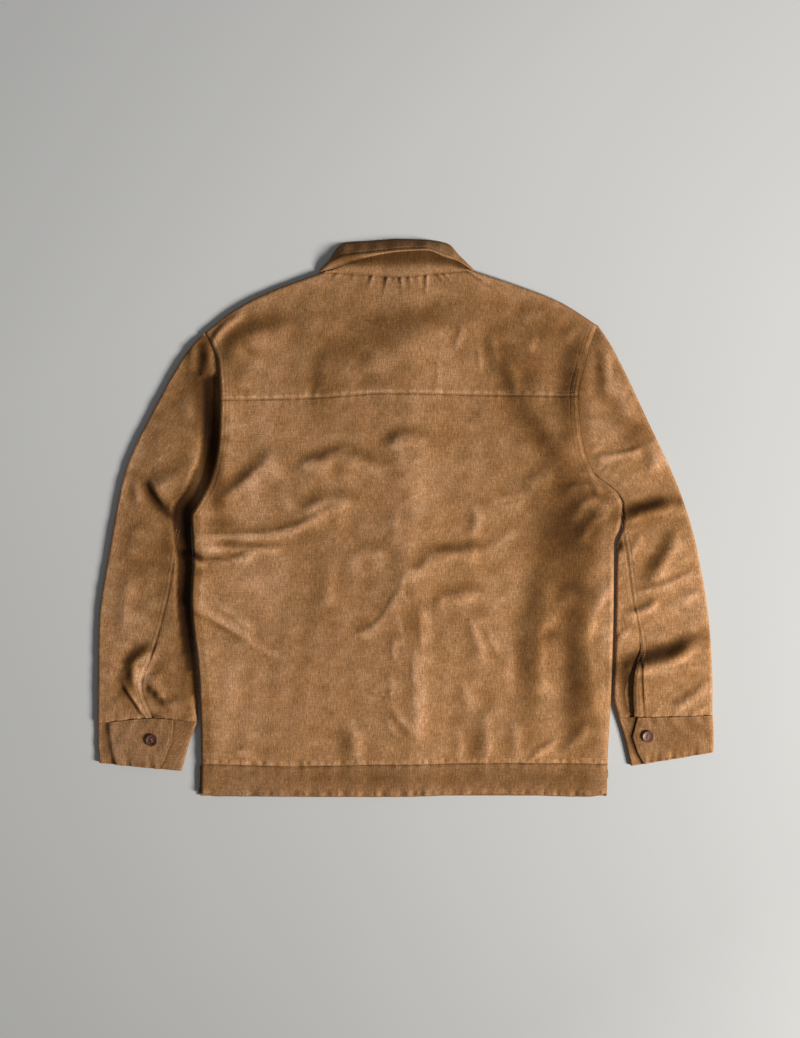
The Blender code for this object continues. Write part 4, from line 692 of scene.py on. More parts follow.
def smoothstep(value):
    t = np.clip(value, 0.0, 1.0)
    return t * t * (3.0 - 2.0 * t)


def bell(value):
    return np.exp(-(value**2))


def ripple(place, seed, size):
    """An uneven wave along a line, mostly within 1 of 0."""
    draw = np.random.default_rng(seed)
    total = np.zeros(np.shape(place))
    for _ in range(6):
        total = total + np.sin(2.0 * math.pi * (place / (size * draw.uniform(0.5, 1.9)) + draw.uniform()))
    return total / 2.6


def unevenness(x, y, seed, size):
    """Soft waves in all directions over the cloth, mostly within 1 of 0."""
    draw = np.random.default_rng(seed)
    total = np.zeros(np.shape(x))
    for _ in range(14):
        angle, wave = draw.uniform(0.0, math.pi), size * draw.uniform(0.5, 1.7)
        way = x * math.cos(angle) + y * math.sin(angle)
        total = total + np.sin(2.0 * math.pi * (way / wave + draw.uniform()))
    return total / 3.6


def add_waves(z, waves, x, y):
    for height, seed, size in waves:
        z = z + height * unevenness(x, y, seed, size)
    return z


def smooth_points(points, steps=LINE_STEPS):
    """A smooth line through the points: cubics that never swing out past the points themselves."""
    points = np.array(points, float)
    if len(points) < 3:
        return np.linspace(points[0], points[-1], steps + 1)
    chord = np.linalg.norm(np.diff(points, axis=0), axis=1)
    slope = np.diff(points, axis=0) / chord[:, None]
    before, after = slope[:-1], slope[1:]
    turned = before * after <= 0.0
    mean = 2.0 * before * after / np.where(turned, 1.0, before + after)
    tangent = np.concatenate([slope[:1], np.where(turned, 0.0, mean), slope[-1:]])
    t = np.linspace(0.0, 1.0, steps, endpoint=False)[:, None]
    line = []
    for i in range(len(points) - 1):
        span = chord[i]
        line.append(
            (2 * t**3 - 3 * t**2 + 1) * points[i]
            + (t**3 - 2 * t**2 + t) * span * tangent[i]
            + (3 * t**2 - 2 * t**3) * points[i + 1]
            + (t**3 - t**2) * span * tangent[i + 1]
        )
    return np.concatenate([*line, points[-1:]])


class Line:
    """A line in plan through a table's places. Its other columns run straight from row to row."""

    def __init__(self, *tables, columns=("x", "y")):
        plan, extra = [], []
        for table in tables:
            rows = np.array([row[1:] for row in table], float)
            smooth = smooth_points(rows[:, :2])
            at_rows = np.linspace(0.0, 1.0, len(rows))
            at = np.linspace(0.0, 1.0, len(smooth))
            rest = [np.interp(at, at_rows, column) for column in rows[:, 2:].T]
            skip = 1 if plan else 0
            plan.append(smooth[skip:])
            extra.append(np.array(rest).T.reshape(len(smooth), -1)[skip:])
        self.points = np.concatenate(plan)
        self.rest = np.concatenate(extra)
        self.columns = columns[2:]
        run = np.linalg.norm(np.diff(self.points, axis=0), axis=1)
        self.place = np.concatenate([[0.0], np.cumsum(run)])
        self.length = self.place[-1]
        self.place = self.place / self.length

    def at(self, share):
        """Points at these shares of the line's length."""
        return np.stack([np.interp(share, self.place, self.points[:, i]) for i in (0, 1)], axis=-1)

    def across(self, share):
        """Points at these shares of the way from its first x to its last."""
        x = self.points[0, 0] + share * (self.points[-1, 0] - self.points[0, 0])
        return np.stack([x, self.y_at(x)], axis=-1)

    def y_at(self, x):
        """Its y at each x, of a line that runs from left to right."""
        return np.interp(x, self.points[:, 0], self.points[:, 1])

    def value(self, column, share):
        return np.interp(share, self.place, self.rest[:, self.columns.index(column)])

    def wave(self, share, seed, size):
        """An uneven wave along the line, at these shares of its length."""
        return ripple(share * self.length, seed, size)

    def puckers(self, away, share, height, seed, size, reach):
        """Waves beside the line where its seam draws the cloth up."""
        return height * self.wave(share, seed, size) * np.exp(-away / reach)

    def edge_puckers(self, away, share, height, seed, size, inset, reach):
        return height * self.wave(share, seed, size) * bell((away - inset) / reach)

    def near(self, x, y):
        """How far each point is from the line, and the share of the line nearest to it."""
        flat = np.stack([np.ravel(x), np.ravel(y)], axis=-1)
        start = self.points[:-1]
        step = np.diff(self.points, axis=0)
        offset = flat[:, None, :] - start[None]
        along = np.clip((offset * step).sum(-1) / (step * step).sum(-1), 0.0, 1.0)
        gap = np.linalg.norm(offset - along[..., None] * step, axis=-1)
        best = gap.argmin(axis=1)
        rows = np.arange(len(flat))
        share = self.place[best] + along[rows, best] * (self.place[best + 1] - self.place[best])
        shape = np.shape(x)
        return gap[rows, best].reshape(shape), share.reshape(shape)

    def beside(self, away, start=0.0, stop=1.0):
        """Points that run beside the line, to the left of its direction by this much."""
        share = np.linspace(start, stop, max(8, round(self.length * (stop - start) / 1.5)))
        way = unit(self.at(np.clip(share + 0.01, 0, 1)) - self.at(np.clip(share - 0.01, 0, 1)))
        return self.at(share) + away * np.stack([-way[:, 1], way[:, 0]], axis=-1)


def plan_of(table):
    """The table's places with only their x and y."""
    return tuple(row[:3] for row in table)


BODY_TABLES = {
    "side_left": SIDE_LEFT,
    "armhole_left": ARMHOLE_LEFT,
    "side_right": SIDE_RIGHT,
    "armhole_right": ARMHOLE_RIGHT,
    "shoulder_left": SHOULDER_LEFT,
    "shoulder_right": SHOULDER_RIGHT,
}
BODY_EDGES = {name: Line(table, columns=BODY_COLUMNS) for name, table in BODY_TABLES.items()}
YOKE_LINE, HEM_LINE, EDGE_LINE, NECK_LINE = map(Line, (YOKE_SEAM, HEM_SEAM, HEM_EDGE, NECK))


def fold_height(folds, x, y):
    """Height that the folds add: each rises over its steep side and falls over its soft one."""
    total = np.zeros(np.shape(x))
    for name, x0, y0, x1, y1, x2, y2, height, steep, soft in folds:
        reach = 3.0 * max(steep, soft)
        inside = (x > min(x0, x1, x2) - reach) & (x < max(x0, x1, x2) + reach)
        inside &= (y > min(y0, y1, y2) - reach) & (y < max(y0, y1, y2) + reach)
        if not inside.any():
            continue
        line = Line(((name, x0, y0), (name, x1, y1), (name, x2, y2)))
        px, py = x[inside], y[inside]
        away, share = line.near(px, py)
        here = line.at(share)
        ahead = line.at(np.clip(share + 0.02, 0, 1)) - line.at(np.clip(share - 0.02, 0, 1))
        side = ahead[..., 1] * (px - here[..., 0]) - ahead[..., 0] * (py - here[..., 1])
        past = np.sign(side) * away - steep
        rise = bell(past / steep) - FOLD_DIP * bell((past + 1.9 * steep) / steep)
        fall = 1.0 / (1.0 + (past / soft) ** 2) ** 1.5
        taper = smoothstep(np.minimum(share, 1 - share) / FOLD_TAPER)
        uneven = 1.0 + FOLD_UNEVEN * np.sin(share * line.length / 8.0 + 5.0 * height)
        total[inside] += height * uneven * taper * np.where(past < 0, rise, fall)
    return total


def dimples(away, rows):
    return -DIMPLE * sum(bell((away - row) / DIMPLE_REACH) for row in rows)


def rolled_share(distance, roll, reach):
    """0 at an edge and 1 away from it: round over the edge where it is rolled, else a soft start."""
    q = np.clip(distance / reach, 0.0, 1.0)
    return roll * np.sqrt(1.0 - (1.0 - q) ** 2) + (1.0 - roll) * smoothstep(q)


def gathers(x, y):
    """Small pleats that run down from the neck seam."""
    total = np.zeros(np.shape(x))
    for px, reach, depth, wide, lean in GATHERS:
        seam_y = NECK_LINE.y_at(px)
        down = (seam_y - y) / reach
        off = x - px - lean * (seam_y - y)
        shape = bell(off / wide) - 0.8 * bell((off - 1.7 * wide) / wide)
        total = total - 1.1 * depth * shape * np.exp(-np.clip(down, 0.0, None) ** 1.5) * (down > -0.1)
    return total


def back_relief(x, y):
    """What the seams and their stitches do to the back's face."""
    yoke, along_yoke = YOKE_LINE.near(x, y)
    above = y > YOKE_LINE.y_at(x)
    lap = LAP * smoothstep(1.4 - yoke / 9.0)
    z = np.where(above, dimples(yoke, YOKE_ROWS_OF_STITCHES) + lap, 0.0)
    z = z - np.where(above, LAPPED_GROOVE, GROOVE) * bell(yoke / GROOVE_HALF)
    z = z + YOKE_LINE.puckers(yoke, along_yoke, *YOKE_PUCKERS)
    hem, along_hem = HEM_LINE.near(x, y)
    z = z - GROOVE * bell(hem / GROOVE_HALF) + HEM_LINE.puckers(hem, along_hem, *HEM_PUCKERS)
    below = y < HEM_LINE.y_at(x)
    edge, along_edge = EDGE_LINE.near(x, y)
    bottom = dimples(edge, (HEM_STITCHES,)) + dimples(hem, YOKE_ROWS_OF_STITCHES[:1])
    bottom = bottom + EDGE_LINE.edge_puckers(edge, along_edge, *EDGE_PUCKERS)
    z = z + np.where(below, bottom, 0.0)
    for side, waves in ARMHOLE_PUCKERS.items():
        line = BODY_EDGES[f"armhole_{side}"]
        away, share = line.near(x, y)
        z = z + dimples(away, ARMHOLE_STITCHES) * smoothstep(share / 0.03)
        z = z + line.edge_puckers(away, share, *waves)
    neck = NECK_LINE.near(x, y)[0]
    return z - GROOVE * bell(neck / WIDE_GROOVE_HALF) + gathers(x, y)


def turned_down(z, edge, away, share, cloth):
    """Heights of the back or the front, turned up or down to its rim beside an outline."""
    rim = edge.value(f"{cloth}_rim", share)
    return rim + (z - rim) * rolled_share(away, edge.value(f"{cloth}_roll", share), ROLL)


def back_height(x, y):
    """The back's face: its middle, what lies under it, its folds, and the turn at its outline."""
    z = BACK_HEIGHT + fold_height(BODY_FOLDS, x, y) + fold_height(BODY_CREASES, x, y)
    z = z + FRONT_STACK * bell((x - CLOSURE_X) / FRONT_STACK_REACH)
    over_collar = 1.0 - smoothstep((np.abs(x - NECK_X) - STACK_HALF) / SOFT_RISE)
    z = z + COLLAR_STACK * smoothstep((y - STACK_TOP) / SOFT_RISE) * over_collar
    z = add_waves(z, BACK_WAVES, x, y)
    near = [(edge, *edge.near(x, y)) for edge in BODY_EDGES.values()]
    crest = np.zeros(np.shape(x))
    for edge, away, share in near:
        crest = np.maximum(crest, edge.value("crest", share) * bell(away / CREST_REACH))
    z = z + crest + back_relief(x, y)
    for edge, away, share in near:
        z = turned_down(z, edge, away, share, "back")
    return z


def closure_lift(x, y):
    """How far the left front stands off the floor over its row of buttons."""
    lift = np.interp(x - CLOSURE_X, *np.array(CLOSURE_PROFILE).T)
    return lift * (1.0 - smoothstep((y - CLOSURE_TOP) / CLOSURE_FADE))


def collar_lift(x, y):
    """How far the fronts stand off the floor over the collar's points."""
    across = 1.0 - smoothstep((np.abs(x - NECK_X) - LIFT_HALF) / SOFT_RISE)
    return COLLAR_LIFT * smoothstep((y - LIFT_BOTTOM) / QUICK_RISE) * across


def front_outline(z, x, y):
    """A front's face, turned up where it meets the back at its outline."""
    for edge in BODY_EDGES.values():
        z = turned_down(z, edge, *edge.near(x, y), "front")
    return z


def off_floor(x, y):
    """The creases of the floor side, which only lift the cloth off the floor."""
    z = 0.5 * np.clip(unevenness(x, y, 7, 60), 0.0, None) + fold_height(FRONT_FOLDS, x, y)
    hem, along = HEM_LINE.near(x, y)
    edge = EDGE_LINE.near(x, y)[0]
    pucker = np.clip(ripple(along * FRONT_HEM_RUN, 21, 20), 0, None)
    z = z + 0.5 * bell(hem / GROOVE_HALF) + 0.3 * pucker * np.exp(-hem / 9)
    return z - dimples(edge, (HEM_STITCHES,))


def front_face(x, y):
    """The left front's face, which is its floor side."""
    lift = np.maximum(closure_lift(x, y), collar_lift(x, y))
    return front_outline(np.maximum(lift, off_floor(x, y)), x, y)


def underlap_face(x, y):
    """The right front's face: on the floor, and up over the left front inside the closure."""
    over = np.maximum(closure_lift(x, y), collar_lift(x, y)) + CLOTH + UNDERLAP_GAP
    share = np.interp(x - CLOSURE_X - CLOSURE_HALF, UNDERLAP_RISE, (1.0, 0.0))
    z = np.maximum(collar_lift(x, y), off_floor(x, y)) * (1.0 - share) + over * share
    return front_outline(z, x, y)


def between(start, stop, share):
    return start + (stop - start) * share[..., None]


def bow(line, points, share):
    """How far a line's points are from the straight line between its ends."""
    return points - between(line.at(0.0), line.at(1.0), share)


def patch(left, right, bottom, top, u, v):
    """Plan points of a piece between four lines, with straight columns and rows that bow with them."""
    u = np.broadcast_to(u, (len(left), np.shape(u)[-1]))
    v = np.asarray(v)[:, None, None]
    sides = between(left[:, None, :], right[:, None, :], u)
    return sides + (1 - v) * bow(bottom, bottom.across(u), u) + v * bow(top, top.across(u), u)


def with_height(plan, height):
    return np.concatenate([plan, height(plan[..., 0], plan[..., 1])[..., None]], axis=-1)


def stations(length, count, first=(0.0,), last=(0.0,)):
    """Shares of a length: set places in from each end and even ones between."""
    room = 0.9 * length / max(first[-1] + last[-1], 1e-6)
    first, last = (np.array(places) * min(1.0, room) for places in (first, last))
    middle = np.linspace(first[-1], length - last[-1], count + 1)
    return np.concatenate([first[:-1], middle, length - last[-2::-1]]) / length


def row_shares(left, right):
    """Where the rows are between a piece's lower and upper line, from the run of its two sides."""
    runs = []
    for side in (left, right):
        run = np.concatenate([[0.0], np.cumsum(np.linalg.norm(np.diff(side, axis=0), axis=1))])
        runs.append(run / run[-1])
    return (runs[0] + runs[1]) / 2


def leave(edge, inside, roll):
    """The way in which the face leaves a piece at its edge: level, or up or down where it's rolled."""
    step = edge - inside
    level = step * (1.0, 1.0, 0.0)
    upright = np.zeros_like(step)
    upright[..., 2] = np.sign(step[..., 2])
    roll = np.broadcast_to(roll, step.shape[:-1])[..., None]
    return unit((1.0 - roll) * unit(level) + roll * upright)


def soften(grid, passes):
    """The grid with each value moved towards its neighbours' mean, a number of times."""
    for _ in range(passes):
        wide = np.pad(grid, 1, mode="edge")
        grid = (wide[:-2, 1:-1] + wide[2:, 1:-1] + wide[1:-1, :-2] + wide[1:-1, 2:] + 2.0 * grid) / 6.0
    return grid


def shade_and_nap_of(face):
    """Painted shade and highlight: paler on the tops of creases, darker in them and in the neck pleats,
    with the marks and the seams' painted shade and highlight.
    """
    x, y, z = np.moveaxis(face, -1, 0)
    relief = np.clip(z - soften(z, RELIEF_SHADE_PASSES), *RELIEF_SHADE_LIMITS)
    shade_and_nap = RELIEF_SHADE * relief + GATHER_SHADE * gathers(x, y) * (z > 4.0)
    marks = np.zeros(np.shape(x))
    for _, px, py, across, along, lean, shade in SHADE_AND_NAP_MARKS:
        turn = math.radians(lean)
        u = (x - px) * math.cos(turn) + (y - py) * math.sin(turn)
        v = (y - py) * math.cos(turn) - (x - px) * math.sin(turn)
        marks = marks + shade * bell(np.hypot(u / across, v / along))
    shown = SHADE_MARKS_ON_FLOOR + (1.0 - SHADE_MARKS_ON_FLOOR) * smoothstep((z - 1.6) / 1.2)
    return shade_and_nap + marks * shown + seam_shade(x, y)


LIP_HIGHLIGHT = 0.10  # painted highlight: how much paler the lip beside a seam is
# Painted shade in each seam: its line, how dark it is, how dark its puckers are, and their seed
SEAM_SHADE = ((HEM_LINE, 0.26, 0.20, 61), (YOKE_LINE, 0.10, 0.10, 62), (EDGE_LINE, 0.18, 0.30, 63))


def seam_shade(x, y):
    """Painted shade in the seams across the back and in their puckers, painted highlight on the lips
    beside them.
    """
    shade = np.zeros(np.shape(x))
    for line, dark, pucker, seed in SEAM_SHADE:
        away, share = line.near(x, y)
        lip = np.where(y > line.y_at(x), bell((away - 4.5) / 3.0), 0.0)
        pleats = np.clip(line.wave(share, seed, 11), 0.0, None)
        uneven = 0.7 + 0.3 * line.wave(share, seed + 5, 60)
        shade = shade - dark * uneven * bell(away) + (LIP_HIGHLIGHT - pucker * pleats) * lip
    return shade


def wall(name, face, thickness, finish, rolls=None, gaps=None, outward=1.0, shade=0.0):
    """A piece of cloth from a grid of face points, with its edges set back for the seams.

    rolls and gaps give, for the sides first_row, last_row, first_column and last_column, whether
    that edge is rolled over and how far it is set back.
    """
    rolls, gaps = rolls or {}, gaps or {}
    face = face.copy()
    normal = unit(np.cross(np.gradient(face, axis=1), np.gradient(face, axis=0))) * outward
    sides = {
        "first_row": (np.s_[0, :], np.s_[1, :]),
        "last_row": (np.s_[-1, :], np.s_[-2, :]),
        "first_column": (np.s_[:, 0], np.s_[:, 1]),
        "last_column": (np.s_[:, -1], np.s_[:, -2]),
    }
    ways = {side: leave(face[at], face[by], rolls.get(side, 0.0)) for side, (at, by) in sides.items()}
    for side, (at, _) in sides.items():
        way = ways[side]
        normal[at] = unit(normal[at] - (normal[at] * way).sum(-1, keepdims=True) * way)
    for side, (at, _) in sides.items():
        gap = np.broadcast_to(gaps.get(side, SEAM_OPEN), ways[side].shape[:-1])[..., None]
        face[at] = face[at] - gap * ways[side]
    # shade is more painted shade or highlight for this piece, on top of that of its creases and marks
    return cloth_object(name, face, face - thickness * normal, shade_and_nap_of(face) + shade, finish)


def linked(name, data):
    """A new object in the scene."""
    obj = bpy.data.objects.new(name, data)
    bpy.context.scene.collection.objects.link(obj)
    return obj


def new_mesh(name, points, faces, edges=()):
    mesh = bpy.data.meshes.new(name)
    mesh.from_pydata(points, edges, faces)
    return mesh


def cloth_object(name, face, back, shade_and_nap, finish):
    """A closed wall between two grids, with its cut as its UV map and its painted shade and highlight as
    an attribute.
    """
    rows, columns = face.shape[:2]
    index = np.arange(rows * columns).reshape(rows, columns)
    corners = index[:-1, :-1], index[:-1, 1:], index[1:, 1:], index[1:, :-1]
    quads = np.stack(corners, axis=-1).reshape(-1, 4)
    ring = np.concatenate([index[0], index[1:, -1], index[-1, -2::-1], index[-2:0:-1, 0]])
    ahead, low = np.roll(ring, -1), rows * columns
    rim = np.stack([ahead, ring, ring + low, ahead + low], axis=-1)
    faces = np.concatenate([quads, quads[:, ::-1] + low, rim])
    points = np.concatenate([face.reshape(-1, 3), back.reshape(-1, 3)]) * MM
    points[:, 2] = np.maximum(points[:, 2], 0.0)
    a, b, c, d = (points[faces[:, i]] for i in range(4))
    if (a * np.cross(b, c)).sum() + (a * np.cross(c, d)).sum() < 0:
        faces = faces[:, ::-1]
    mesh = new_mesh(name, points.tolist(), faces.tolist())

    across = np.linalg.norm(np.diff(face, axis=1), axis=-1).cumsum(axis=1)
    across = np.pad(across, ((0, 0), (1, 0))) - across[:, columns // 2, None]
    along = np.linalg.norm(np.diff(face[:, columns // 2], axis=0), axis=-1).cumsum()
    along = np.broadcast_to(np.pad(along, (1, 0))[:, None], across.shape)
    cut = np.tile(np.stack([across, along], axis=-1).reshape(-1, 2), (2, 1)) * MM
    corner = np.empty(len(mesh.loops), np.int32)
    mesh.loops.foreach_get("vertex_index", corner)
    mesh.uv_layers.new(name="cut").data.foreach_set("uv", cut[corner].ravel().astype(np.float32))
    layer = mesh.attributes.new("shade_and_nap", "FLOAT", "POINT")
    layer.data.foreach_set("value", np.tile(shade_and_nap.ravel(), 2).astype(np.float32))
    return finished(name, mesh, finish)


def finished(name, mesh, finish):
    mesh.shade_smooth()
    mesh.set_sharp_from_angle(angle=math.radians(50))
    mesh.materials.clear()
    mesh.materials.append(finish)
    return linked(name.replace("_", "-"), mesh)


class Flank:
    """One side of the body: its stations from the hem seam to the yoke seam and the shoulder tip."""

    def __init__(self, side, armhole, hem_end, yoke_end):
        self.side, self.armhole = BODY_EDGES[side], BODY_EDGES[armhole]
        seam = float(self.side.near(*np.array(hem_end, float)[:, None])[1][0])
        self.yoke = float(self.armhole.near(*np.array(yoke_end, float)[:, None])[1][0])
        low = stations(self.side.length * (1 - seam), SIDE_ROWS, first=SEAM)
        middle = stations(self.armhole.length * self.yoke, ARM_ROWS, last=SEAM)
        high = stations(self.armhole.length * (1 - self.yoke), YOKE_ROWS, first=SEAM, last=TURN)
        self.low, self.middle = seam + (1 - seam) * low[:-1], self.yoke * middle
        self.high = self.yoke + (1 - self.yoke) * high

    def panel(self):
        return np.concatenate([self.side.at(self.low), self.armhole.at(self.middle)])

    def panel_values(self, column):
        low = self.side.value(column, self.low)
        return np.concatenate([low, self.armhole.value(column, self.middle)])


FLANKS = {
    "left": Flank("side_left", "armhole_left", SIDE_LEFT[1][1:3], YOKE_SEAM[0][1:]),
    "right": Flank("side_right", "armhole_right", SIDE_RIGHT[1][1:3], YOKE_SEAM[-1][1:]),
}


def each_row(widths, *places):
    """The stations over each row of a piece, from the rows' widths."""
    return np.array([stations(width, *places) for width in np.ravel(widths)])


def columns_of(left, right, *places):
    return each_row(np.linalg.norm(right - left, axis=1), *places)


def sew_back():
    """Back panel, yoke and hem band, which meet at the seams between them."""
    flanks = FLANKS["left"], FLANKS["right"]
    edges = ("first_column", "last_column")
    left, right = (flank.panel() for flank in flanks)
    rolls = {side: flank.panel_values("back_roll") for side, flank in zip(edges, flanks)}
    columns = columns_of(left, right, PANEL_COLUMNS, TURNED_SEAM, TURNED_SEAM)
    plan = patch(left, right, HEM_LINE, YOKE_LINE, columns, row_shares(left, right))
    yield wall("back_panel", with_height(plan, back_height), CLOTH, SUEDE, rolls)

    left, right = (flank.armhole.at(flank.high) for flank in flanks)
    rolls = {side: flank.armhole.value("back_roll", flank.high) for side, flank in zip(edges, flanks)}
    columns = columns_of(left, right, YOKE_COLUMNS, TURNED_SEAM, TURNED_SEAM)
    top = Line(plan_of(SHOULDER_LEFT), NECK, plan_of(SHOULDER_RIGHT))
    plan = patch(left, right, YOKE_LINE, top, columns, row_shares(left, right))
    rolls["last_row"] = np.where(beside_neck(plan[-1, :, 0], 1.0), 0.0, 1.0)
    yield wall("back_yoke", with_height(plan, back_height), CLOTH, SUEDE, rolls)

    rows = stations(HEM_BAND_WIDTH, BAND_ROWS, first=SEAM, last=SEAM)[:, None]
    ends = [EDGE_LINE.at(end) + (HEM_LINE.at(end) - EDGE_LINE.at(end)) * rows for end in (0.0, 1.0)]
    columns = stations(HEM_BAND_LENGTH, PANEL_COLUMNS, TURN, TURN)
    plan = patch(*ends, EDGE_LINE, HEM_LINE, columns, rows[:, 0])
    rolls = {"first_column": 1.0, "last_column": 1.0}
    yield wall("hem_band_back", with_height(plan, back_height), BAND_CLOTH, BANDS, rolls)


def beside_neck(x, out):
    return (x > NECK[0][1] - out) & (x < NECK[-1][1] + out)


def sew_front(side, height, neck, centre_x):
    """One front and its hem band, face down on the floor."""
    flank, is_left = FLANKS[side], side == "left"
    outer = np.concatenate([flank.panel(), flank.armhole.at(flank.high)[1:]])
    high = flank.armhole.value("front_roll", flank.high)[1:]
    roll = np.concatenate([flank.panel_values("front_roll"), high])
    every = np.unique([*range(0, len(outer), 2), len(outer) - 1])
    outer, roll = outer[every], roll[every]
    v = row_shares(outer, outer)
    low = np.array([centre_x, float(HEM_LINE.y_at(centre_x))])
    high = np.array([centre_x, (neck[-1] if is_left else neck[0])[2]])
    centre = low + (high - low) * v[:, None]
    left, right = (outer, centre) if is_left else (centre, outer)
    turned, plain = TURN, CLOSURE_PLACES
    columns = columns_of(left, right, FRONT_COLUMNS, *((turned, plain) if is_left else (plain, turned)))
    seam = Line((("left", *left[0]), ("right", *right[0])))
    top = Line(plan_of(SHOULDER_LEFT), neck) if is_left else Line(neck, plan_of(SHOULDER_RIGHT))
    plan = patch(left, right, seam, top, columns, v)
    edge = "first_column" if is_left else "last_column"
    rolls = {edge: roll, "last_row": np.where(beside_neck(plan[-1, :, 0], -1.0), 0.0, 1.0)}
    yield wall(f"front_{side}", with_height(plan, height), CLOTH, SUEDE, rolls, outward=-1.0)

    corner = np.array((SIDE_LEFT if is_left else SIDE_RIGHT)[0][1:3])
    foot = np.array([centre_x, EDGE_LINE.at(0.5)[1]])
    ends = [corner, foot] if is_left else [foot, corner]
    share = stations(HEM_BAND_WIDTH, BAND_ROWS, first=SEAM, last=FRONT_BAND_TOP)[:, None]
    rows = [end + (stop - end) * share for end, stop in zip(ends, (left[0], right[0]))]
    foot_line = Line((("left", *ends[0]), ("right", *ends[1])))
    plan = patch(*rows, foot_line, seam, columns[0], share[:, 0])
    face = with_height(plan, height)
    yield wall(f"hem_band_front_{side}", face, CLOTH, BANDS, {edge: 1.0}, outward=-1.0)


class Sleeve:
    """A sleeve's plan between its armhole, its two outlines and its cuff seam, and its heights."""

    def __init__(self, side, inner, outer, end, seam, folds):
        self.side, self.folds = side, folds
        self.armhole = FLANKS[side].armhole
        self.corner = np.array(CORNER) * FLANKS[side].yoke
        self.outer = Line(outer, columns=SLEEVE_COLUMNS)
        self.end = Line(end)
        self.seam = Line(seam, columns=SEAM_COLUMNS)
        turned = self.turned_edge(*inner[0][3:])
        self.inner = Line((*turned, *inner), columns=SLEEVE_COLUMNS)
        places = np.array([row[1:3] for row in (*turned, inner[0])])
        down = self.inner.near(places[:, 0], places[:, 1])[1]
        top = len(self.corner) - 1
        inner_rows = np.concatenate([down, np.linspace(down[-1], 1.0, SLEEVE_STATIONS + 1)[1:]])
        fan = np.linspace(0.0, SLEEVE_FAN, top + 1)
        outer_rows = np.concatenate([fan, np.linspace(SLEEVE_FAN, 1.0, SLEEVE_STATIONS + 1)[1:]])
        fine = np.linspace(0.0, top, top * SLEEVE_ROWS[0] + 1)[:-1]
        low = np.linspace(top, top + SLEEVE_STATIONS, SLEEVE_STATIONS * SLEEVE_ROWS[1] + 1)
        near_cuff = low[-1] - np.array(SEAM[-2::-1]) / STATION_RUN
        fine = np.concatenate([fine, low[low < near_cuff[0] - 0.02], near_cuff])
        self.rows = np.interp(fine, np.arange(len(inner_rows)), inner_rows)
        self.outer_rows = np.interp(fine, np.arange(len(outer_rows)), outer_rows)
        self.widths = np.linalg.norm(self.outer.at(self.outer_rows) - self.inner.at(self.rows), axis=1)
        self.cut = self.split()

    def turned_edge(self, rim, tuck):
        """The sleeve's own edge beside the low end of the armhole, down to the armpit."""
        sign = 1.0 if self.side == "right" else -1.0
        rows = []
        for share in self.corner[:0:-1]:
            ahead = self.armhole.at(share + 0.01) - self.armhole.at(share - 0.01)
            outward = unit(np.array([ahead[1], -ahead[0]])) * sign
            rows.append(("armhole", *(self.armhole.at(share) + ARMPIT_GAP * outward), rim, tuck))
        return rows

    def plan(self, u):
        """Plan points at shares u from the inner to the outer outline, in each row."""
        u = np.broadcast_to(u, (len(self.rows), np.shape(u)[-1]))
        v = self.outer_rows[:, None, None]
        start = self.corner[-1]
        rows = between(self.inner.at(self.rows)[:, None], self.outer.at(self.outer_rows)[:, None], u)
        ends = between(self.armhole.at(start), self.armhole.at(1.0), u)
        arm = self.armhole.at(start + u * (1.0 - start)) - ends
        rows = rows + (1.0 - smoothstep(v / BOW_REACH)) * arm
        return rows + smoothstep((v - 1.0 + BOW_REACH) / BOW_REACH) * bow(self.end, self.end.at(u), u)

    def split(self):
        """The share of each row where the back seam crosses it."""
        u = np.linspace(0.0, 1.0, SPLIT_PLACES)
        plan = self.plan(u[None, :])
        away = self.seam.near(plan[..., 0], plan[..., 1])[0]
        cut = np.maximum(u[away.argmin(axis=1)], (ROLL + SEAM_INSET) / self.widths)
        return soften(cut[:, None], 6)[:, 0]

    def outlines(self, z, x, y, tucked=False):
        for edge in (self.inner, self.outer):
            away, share = edge.near(x, y)
            rim = edge.value("rim", share)
            away = away - tucked * edge.value("tuck", share)
            z = rim + (z - rim) * rolled_share(away, 1.0, SLEEVE_ROLL)
        return z

    def top(self, x, y):
        z = add_waves(SLEEVE_HEIGHT + fold_height(self.folds, x, y), SLEEVE_WAVES, x, y)
        seam, along = self.seam.near(x, y)
        side = np.interp(y, self.seam.points[::-1, 1], self.seam.points[::-1, 0])
        outer = (x > side) if self.side == "right" else (x < side)
        z = z - SLEEVE_GROOVE * bell(seam / SLEEVE_GROOVE_HALF)
        z = z + np.where(outer, dimples(seam, SLEEVE_STITCHES), 0.0)
        z = z + self.seam.puckers(seam, along, *SLEEVE_PUCKERS)
        end = self.end.near(x, y)[0]
        z = z - SLEEVE_GROOVE * bell(end / WIDE_GROOVE_HALF) + 0.6 * ripple(x, 32, 13) * np.exp(-end / 8.0)
        away, share = self.armhole.near(x, y)
        width, low, top, fade = GAPS[self.side]
        kept = 1.0 - smoothstep((share - top) / fade)
        rim = np.maximum(self.armhole.value("back_rim", share), SLEEVE_SEAM_LOW)
        rim = rim + (low - rim) * kept
        z = z + self.armhole.edge_puckers(away, share, *CAP_PUCKERS)
        reach = ARMHOLE_REACH * (1.0 - 0.6 * kept * (width > 0))
        z = rim + (z - rim) * rolled_share(away - width * kept, 0.5 * kept * (width > 0), reach)
        for _, px, py, across, depth in PITS:
            z = z - depth * bell(np.hypot(x - px, y - py) / across)
        return self.outlines(z, x, y, True)

    def bottom(self, x, y):
        away, share = self.armhole.near(x, y)
        rim = self.armhole.value("front_rim", share) * smoothstep((share - FLOOR_SIDE_TOP) / 0.2)
        z = rim * (1.0 - rolled_share(away, 0.0, ARMHOLE_REACH))
        return self.outlines(z + 0.4 * np.clip(unevenness(x, y, 8, 50), 0.0, None), x, y)

